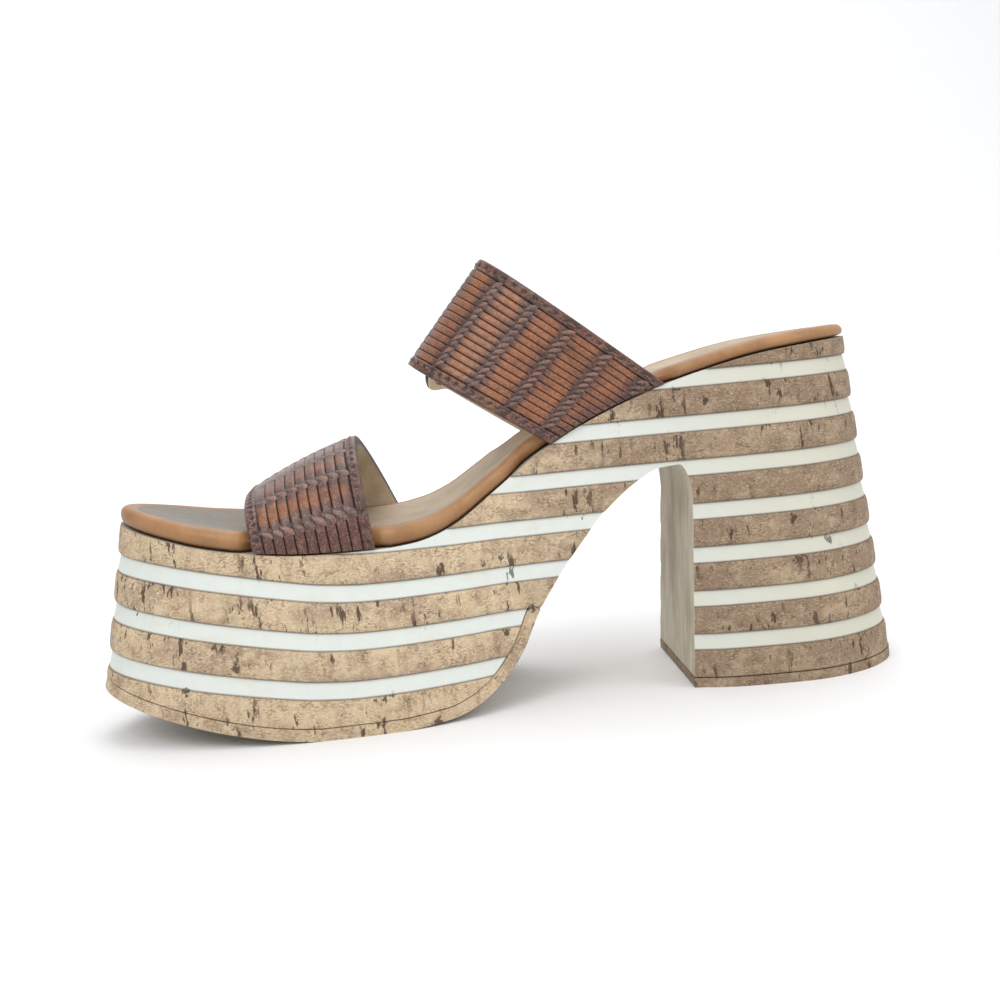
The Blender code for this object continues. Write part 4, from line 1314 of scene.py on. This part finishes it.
def stitch(spots, thickness):
    """A stitch of thread through the given spots, its ends sunk in the leather."""
    sides, rows = 6, len(spots) - 1

    def spot(i, j):
        ahead = spots[min(j + 1, rows)][0] - spots[max(j - 1, 0)][0]
        up = spots[j][1]
        side = ahead.cross(up).normalized()
        turn = 2 * math.pi * (i % sides) / sides
        return spots[j][0] + (side * math.cos(turn) + up * math.sin(turn)) * thickness / 2

    bm = bent_grid(sides, rows, spot)
    close_up(bm)
    return bm


def stitches(runs, dips, spot_at, thickness):
    """Stitches of a seam, one between each pair of holes.

    spot_at(run, sunk) gives the place at a run and a depth, and the way out of it.
    """
    made = []
    for a, b in zip(runs, runs[1:]):
        spots = [spot_at(a + (b - a) * share, sunk) for share, sunk in dips]
        made.append(stitch(spots, thickness))
    return made


def seam(arch, across_at, runs, out):
    """Stitches along a strap."""
    def spot_at(run, sunk):
        around, across = arch.around_at(run), across_at(run)
        up = arch.point(across, around, 0.001) - arch.point(across, around, 0.0)
        return arch.point(across, around, out - sunk), up.normalized()

    return stitches(runs, SEAM_DIPS, spot_at, THREAD)


def strap_seams(weave):
    """Both border seams of a woven strap."""
    share = STITCH_INSET / weave.width
    out = STRAP_WALL / 2 + STRIP_RELIEF + THREAD_LIFT
    count = int(weave.last_run / STITCH_PITCH)
    runs = [STITCH_PITCH * (i + 0.5) for i in range(count)]
    made = []
    for across in (share, 1 - share):
        made += seam(weave.arch, lambda run, at=across: at, runs, out)
    return made


# Closure on the lateral side


def closure_point(sideways, run, out):
    """A place on the lateral side: forward of the middle, along the strap, and out."""
    arch = INSTEP_STRAP
    around = arch.around_at(run)
    return arch.point(0.5 + sideways / arch.width(around), around, out)


def strap_end():
    """Run at which the instep strap ends, over the tab."""
    return INSTEP_STRAP.girth() - TAB_LENGTH + STRAP_OVERLAP


def hinge_gap():
    """Inner radius of the loops round the hinge bar."""
    return BUCKLE_BAR / 2 + CLEARANCE * 1.7


def hinge_out():
    """Height of the hinge bar's middle, over the loops' tails on the tab."""
    return -STRAP_WALL / 2 + LOOP_WALL + hinge_gap()


def billet_out(run):
    """Height of the billet's middle, over the strap's end and then over the buckle."""
    over_strap = STRAP_WALL / 2 + STRIP_RELIEF + CLEARANCE + BILLET_WALL / 2
    over_bar = hinge_out() + BUCKLE_BAR / 2 + 3 * CLEARANCE + PRONG_THICKNESS + BILLET_WALL / 2
    return over_strap + (over_bar - over_strap) * ease((run - strap_end()) / (BUCKLE_DROP - 0.003))


def tab_outline():
    """Runs along the tab and how far its round end draws each side in."""
    end = INSTEP_STRAP.girth() - TAB_LENGTH
    runs = [end + TAB_CORNER * (1 - math.cos(QUARTER_TURN * i / 20)) for i in range(21)]
    runs += spaced(runs[-1], INSTEP_STRAP.girth() - FOOT_CLEARANCE / 2, 26)[1:]
    shys = []
    for run in runs:
        left = max(TAB_CORNER - (run - end), 0.0)
        shys.append(TAB_CORNER - math.sqrt(TAB_CORNER ** 2 - left ** 2))
    return runs, shys


def build_tab():
    """Tab on the lateral side, brown outside, lined inside, with a round stitched end."""
    arch = INSTEP_STRAP
    outer = -STRAP_WALL / 2 - CLEARANCE
    inner = outer - STRAP_WALL
    runs, shys = tab_outline()
    columns = 24
    across_out = spaced(0.02, 0.98, columns)
    loop = ([(0.0, 0.3), (0.0, 0.75), (0.006, 0.97)] + [(a, 1.0) for a in across_out]
            + [(0.994, 0.97), (1.0, 0.75), (1.0, 0.3), (0.994, 0.03)]
            + [(a, 0.0) for a in reversed(across_out)] + [(0.006, 0.03)])
    count = len(loop)

    def peek(run):
        """The front edge stands past the strap's at the round end and meets it lower down."""
        return 1 - ease((run - runs[0] - 0.65 * TAB_CORNER) / TAB_PEEK_FADE)

    def spot(i, j):
        share, rise = loop[i % count]
        around = arch.around_at(runs[j])
        width = arch.width(around)
        shy = shys[j] / width
        past = TAB_PEEK / width * peek(runs[j])
        return arch.point(shy + (1 + past - 2 * shy) * share, around, inner + STRAP_WALL * rise)

    def finish(i, j):
        leather, lining, paint = 0, 1, 2
        if 2 < i < 3 + columns:
            return leather
        return paint if i <= 5 + columns else lining

    bm = bent_grid(count, len(runs) - 1, spot, finish)
    close_up(bm, 0.000005, 2)
    finished("lateral_tab_leather", bm, ["lateral_tab"],
             (TAB_LEATHER, LINING, EDGE_PAINT), 50)

    holes = [runs[0] + 0.004 + STITCH_PITCH * i
             for i in range(int((runs[-1] - runs[0] - 0.006) / STITCH_PITCH))]
    made = []
    for side in (0.0, 1.0):
        def across_at(run, side=side):
            width = arch.width(arch.around_at(run))
            past = TAB_PEEK / width * peek(run)
            drawn = (monotone(runs, shys, run) + TAB_STITCH_INSET) / width
            return drawn if side == 0.0 else 1 + past - drawn

        made += seam(arch, across_at, holes, outer + THREAD_LIFT)
        made += seam(arch, across_at, holes, inner - THREAD_LIFT + 0.0001)
    return made


def build_billet():
    """Narrow dark strap with rounded edges and two seams; the prong goes through it."""
    start = strap_end() - BILLET_ON_STRAP
    last = start + BILLET_LENGTH
    runs = spaced(start, last - BILLET_POINT, 40)
    runs += [last - BILLET_POINT * (1 - math.sin(QUARTER_TURN * i / 10)) for i in range(1, 11)]
    loop = [(-1.0, -0.4), (-1.0, 0.4), (-0.96, 0.85), (-0.88, 1.0), (-0.4, 1.06), (0.0, 1.08),
            (0.4, 1.06), (0.88, 1.0), (0.96, 0.85), (1.0, 0.4), (1.0, -0.4), (0.94, -1.0),
            (0.0, -1.0), (-0.94, -1.0)]
    count = len(loop)

    def spot(i, j):
        side, up = loop[i % count]
        left = max(runs[j] - last + BILLET_POINT, 0.0) / BILLET_POINT
        half = BILLET_WIDTH / 2 * max(math.sqrt(max(1 - left ** 2, 0.0)), 0.08)
        return closure_point(side * half, runs[j], billet_out(runs[j]) + up * BILLET_WALL / 2)

    bm = bent_grid(count, len(runs) - 1, spot, lambda i, j: 0 if 1 <= i <= 8 else 1)
    close_up(bm, 0.000005, 1)
    finished("buckle_billet_leather", bm, ["buckle_billet"],
             (DARK_LEATHER, EDGE_PAINT), 50)
    holes = [start + 0.0015 + BILLET_STITCH_PITCH * i
             for i in range(int(BILLET_LENGTH / BILLET_STITCH_PITCH) - 3)]
    made = []
    for side in (-1.0, 1.0):
        def spot_at(run, sunk, sideways=side * (BILLET_WIDTH / 2 - BILLET_STITCH_INSET)):
            out = billet_out(run) + BILLET_WALL / 2 + THREAD_LIFT - sunk
            up = closure_point(0.0, run, 0.001) - closure_point(0.0, run, 0.0)
            return closure_point(sideways, run, out), up.normalized()

        made += stitches(holes, BILLET_DIPS, spot_at, THREAD * 0.9)
    return made


def brass_bar(name, points, radii, closed, replaced):
    """A round brass bar swept along the points."""
    sides = 16
    count = len(points)
    run = strap_end() + BUCKLE_DROP
    out = (closure_point(0.0, run, 0.001) - closure_point(0.0, run, 0.0)).normalized()

    def spot(i, j):
        here = points[j % count]
        before = points[(j - 1) % count] if closed or j > 0 else here
        after = points[(j + 1) % count] if closed or j < count - 1 else here
        ahead = (after - before).normalized()
        side = ahead.cross(out).normalized()
        up = side.cross(ahead)
        turn = 2 * math.pi * (i % sides) / sides
        return here + (side * math.cos(turn) + up * math.sin(turn)) * radii[j % count]

    bm = bent_grid(sides, count if closed else count - 1, spot)
    close_up(bm)
    finished(name, bm, replaced, (BRASS,), 60)


def smooth_line(points, per_span):
    """Points of a Catmull-Rom curve through the given ones."""
    last = len(points) - 1
    line = []
    for i in range(last):
        p = [points[min(max(i + k, 0), last)] for k in (-1, 0, 1, 2)]
        for step in range(per_span):
            t = step / per_span
            line.append(0.5 * ((2 * p[1]) + (p[2] - p[0]) * t
                               + (2 * p[0] - 5 * p[1] + 4 * p[2] - p[3]) * t * t
                               + (3 * p[1] - p[0] - 3 * p[2] + p[3]) * t ** 3))
    return line + [points[-1]]


def build_buckle():
    """Antique brass frame and prong, with two leather loops on the hinge bar."""
    hinge = strap_end() + BUCKLE_DROP
    top = hinge - BUCKLE_LENGTH
    low_out = hinge_out()
    high_out = billet_out(top) + BILLET_WALL / 2 + CLEARANCE * 2 + BUCKLE_BAR / 2
    half = BUCKLE_INNER_WIDTH / 2 + BUCKLE_BAR / 2

    def at(x, share):
        return closure_point(x, hinge + (top - hinge) * share,
                             low_out + (high_out - low_out) * share)

    corners = [at(-half, 0.0), at(half, 0.0), at(half, 1.0), at(-half, 1.0)]
    line = []
    for i, here in enumerate(corners):
        before, after = corners[i - 1], corners[(i + 1) % 4]
        to_before, to_after = (before - here).normalized(), (after - here).normalized()
        for k in range(9):
            turn = QUARTER_TURN * k / 8
            line.append(here + to_before * BUCKLE_CORNER * (1 - math.sin(turn))
                        + to_after * BUCKLE_CORNER * (1 - math.cos(turn)))
        span = (after - here).length - 2 * BUCKLE_CORNER
        line += [here + to_after * (BUCKLE_CORNER + span * k / 12) for k in range(1, 12)]
    thick = [BUCKLE_BAR / 2] * len(line)
    brass_bar("brass_buckle_frame", line, thick, True, ["buckle_frame"])

    rest = high_out + BUCKLE_BAR / 2 + CLEARANCE + PRONG_THICKNESS / 2
    start_out = low_out + BUCKLE_BAR / 2 + CLEARANCE + PRONG_THICKNESS / 2
    hole_run = hinge - BUCKLE_LENGTH * 0.35
    prong = [closure_point(0.0, hinge + 0.0006, start_out),
             closure_point(0.0, hinge - BUCKLE_LENGTH * 0.18, start_out + 0.0001),
             closure_point(0.0, hole_run, billet_out(hole_run)),
             closure_point(0.0, hinge - BUCKLE_LENGTH * 0.55,
                           billet_out(hole_run) + BILLET_WALL / 2 + PRONG_THICKNESS),
             closure_point(0.0, top, rest),
             closure_point(0.0, top - 0.0016, rest - 0.0002)]
    line = smooth_line(prong, 8)
    thick = [PRONG_THICKNESS / 2 * (1.0 if i < len(line) - 3 else 0.62) for i in range(len(line))]
    brass_bar("brass_buckle_prong", line, thick, False, ["buckle_prong"])

    inner, outer = hinge_gap(), hinge_gap() + LOOP_WALL
    turns = [math.radians(-90 - 250 * i / 24) for i in range(25)]
    profile = [(outer * math.cos(t), outer * math.sin(t)) for t in turns]
    profile += [(inner * math.cos(t), inner * math.sin(t)) for t in reversed(turns)]
    profile += [(LOOP_TAIL, -inner), (LOOP_TAIL, -outer)]
    count = len(profile)
    for number, side in enumerate((-1.0, 1.0), start=1):
        near = side * (PRONG_THICKNESS / 2 + LOOP_FROM_PRONG)
        steps = [near + side * LOOP_WIDTH * share for share in (0.0, 0.08, 0.5, 0.92, 1.0)]

        def spot(i, j, steps=steps):
            run, out = profile[i % count]
            return closure_point(steps[j], hinge + run, low_out + out)

        bm = bent_grid(count, len(steps) - 1, spot)
        close_up(bm)
        finished(f"hinge_loop_{number}", bm, [f"buckle_loop_{number}"],
                 (DARK_LEATHER,), 50)


# Studio


def build_studio():
    """Pale sweep, soft light from above and both sides, and the photograph's view."""
    def sweep(i, j):
        turn = QUARTER_TURN * max(j - 8, 0) / 24
        y = -8.0 + 9.6 * min(j, 8) / 8 + 0.8 * math.sin(turn)
        rise = 0.8 * (1 - math.cos(turn)) + (4.0 if j > 32 else 0.0)
        return Vector((-8.0 + 16.0 * i / 4, y, rise))

    bm = bent_grid(4, 33, sweep)
    bmesh.ops.recalc_face_normals(bm, faces=bm.faces)
    paper = start_material("white_paper_sweep", 0.9, Base_Color=colour("#eeeeee"))[0]
    floor = linked("studio_floor", as_mesh("studio_floor", bm, (paper,)))
    floor.data.shade_smooth()

    shoe, backdrop = (0.0, 0.0, 0.06), (0.0, 2.3, 0.5)
    for name, where, target, size, power in (
            ("key", (-0.55, -0.95, 1.05), shoe, 0.9, 6.0),
            ("fill", (0.95, -0.75, 0.75), shoe, 1.1, 5.0),
            ("top", (0.10, 0.35, 1.30), shoe, 1.2, 4.8),
            ("backdrop", (0.0, 0.9, 1.7), backdrop, 1.2, 14.0)):
        lamp = bpy.data.lights.new(name, "AREA")
        lamp.shape = "DISK"
        lamp.size = size
        lamp.energy = power
        ahead = (Vector(target) - Vector(where)).to_track_quat("-Z", "Y")
        turned = ahead.to_matrix().to_4x4()
        linked(name, lamp).matrix_world = Matrix.Translation(where) @ turned

    sky = bpy.data.lights.new("even_top", "SUN")
    sky.energy = 0.6
    sky.angle = math.radians(60)
    linked("even_top", sky).matrix_world = Matrix.Rotation(math.radians(35), 4, "X")

    world = bpy.data.worlds.new("studio")
    world.use_nodes = True
    background = world.node_tree.nodes["Background"]
    background.inputs["Color"].default_value = colour("#f4f6f8")
    background.inputs["Strength"].default_value = 0.66
    bpy.context.scene.world = world
    bpy.context.scene.view_settings.view_transform = "Standard"

    lens = bpy.data.cameras.new("photo_camera")
    lens.lens = CAMERA_LENS
    lens.sensor_width = 36.0
    lens.clip_start = 0.01
    camera = linked("photo_camera", lens)
    ahead = (CAMERA_AIM - CAMERA_PLACE).normalized()
    level = ahead.cross(Vector((0.0, 0.0, 1.0))).normalized()
    upright = level.cross(ahead)
    right = level * math.cos(CAMERA_ROLL) - upright * math.sin(CAMERA_ROLL)
    up = right.cross(ahead)
    turned = Matrix((right, up, -ahead)).transposed().to_4x4()
    camera.matrix_world = Matrix.Translation(CAMERA_PLACE) @ turned
    bpy.context.scene.camera = camera


build_unit()
build_treads()
build_insole()
TOE_WEAVE = Weave(TOE_STRAP, TOE_STRIPS, first_row=0.0104, skew=0.0035, pitch=0.0115,
                  spread=0.0045, last_run=TOE_STRAP.girth(), tint=0.46)
INSTEP_WEAVE = Weave(INSTEP_STRAP, INSTEP_STRIPS, first_row=0.0051, skew=0.0156, pitch=0.0116,
                     spread=0.0036, last_run=strap_end(), tint=0.0)
build_woven_strap("toe_strap_weave", TOE_WEAVE, ["toe_strap"])
build_plaits("toe_strap_plaits", TOE_WEAVE)
build_woven_strap("instep_strap_weave", INSTEP_WEAVE, ["instep_strap"])
build_plaits("instep_strap_plaits", INSTEP_WEAVE)
threads = strap_seams(TOE_WEAVE) + strap_seams(INSTEP_WEAVE) + build_tab() + build_billet()
finished("strap_stitching", joined(threads), None, (THREAD_FINISH,), 60)
build_buckle()
build_studio()
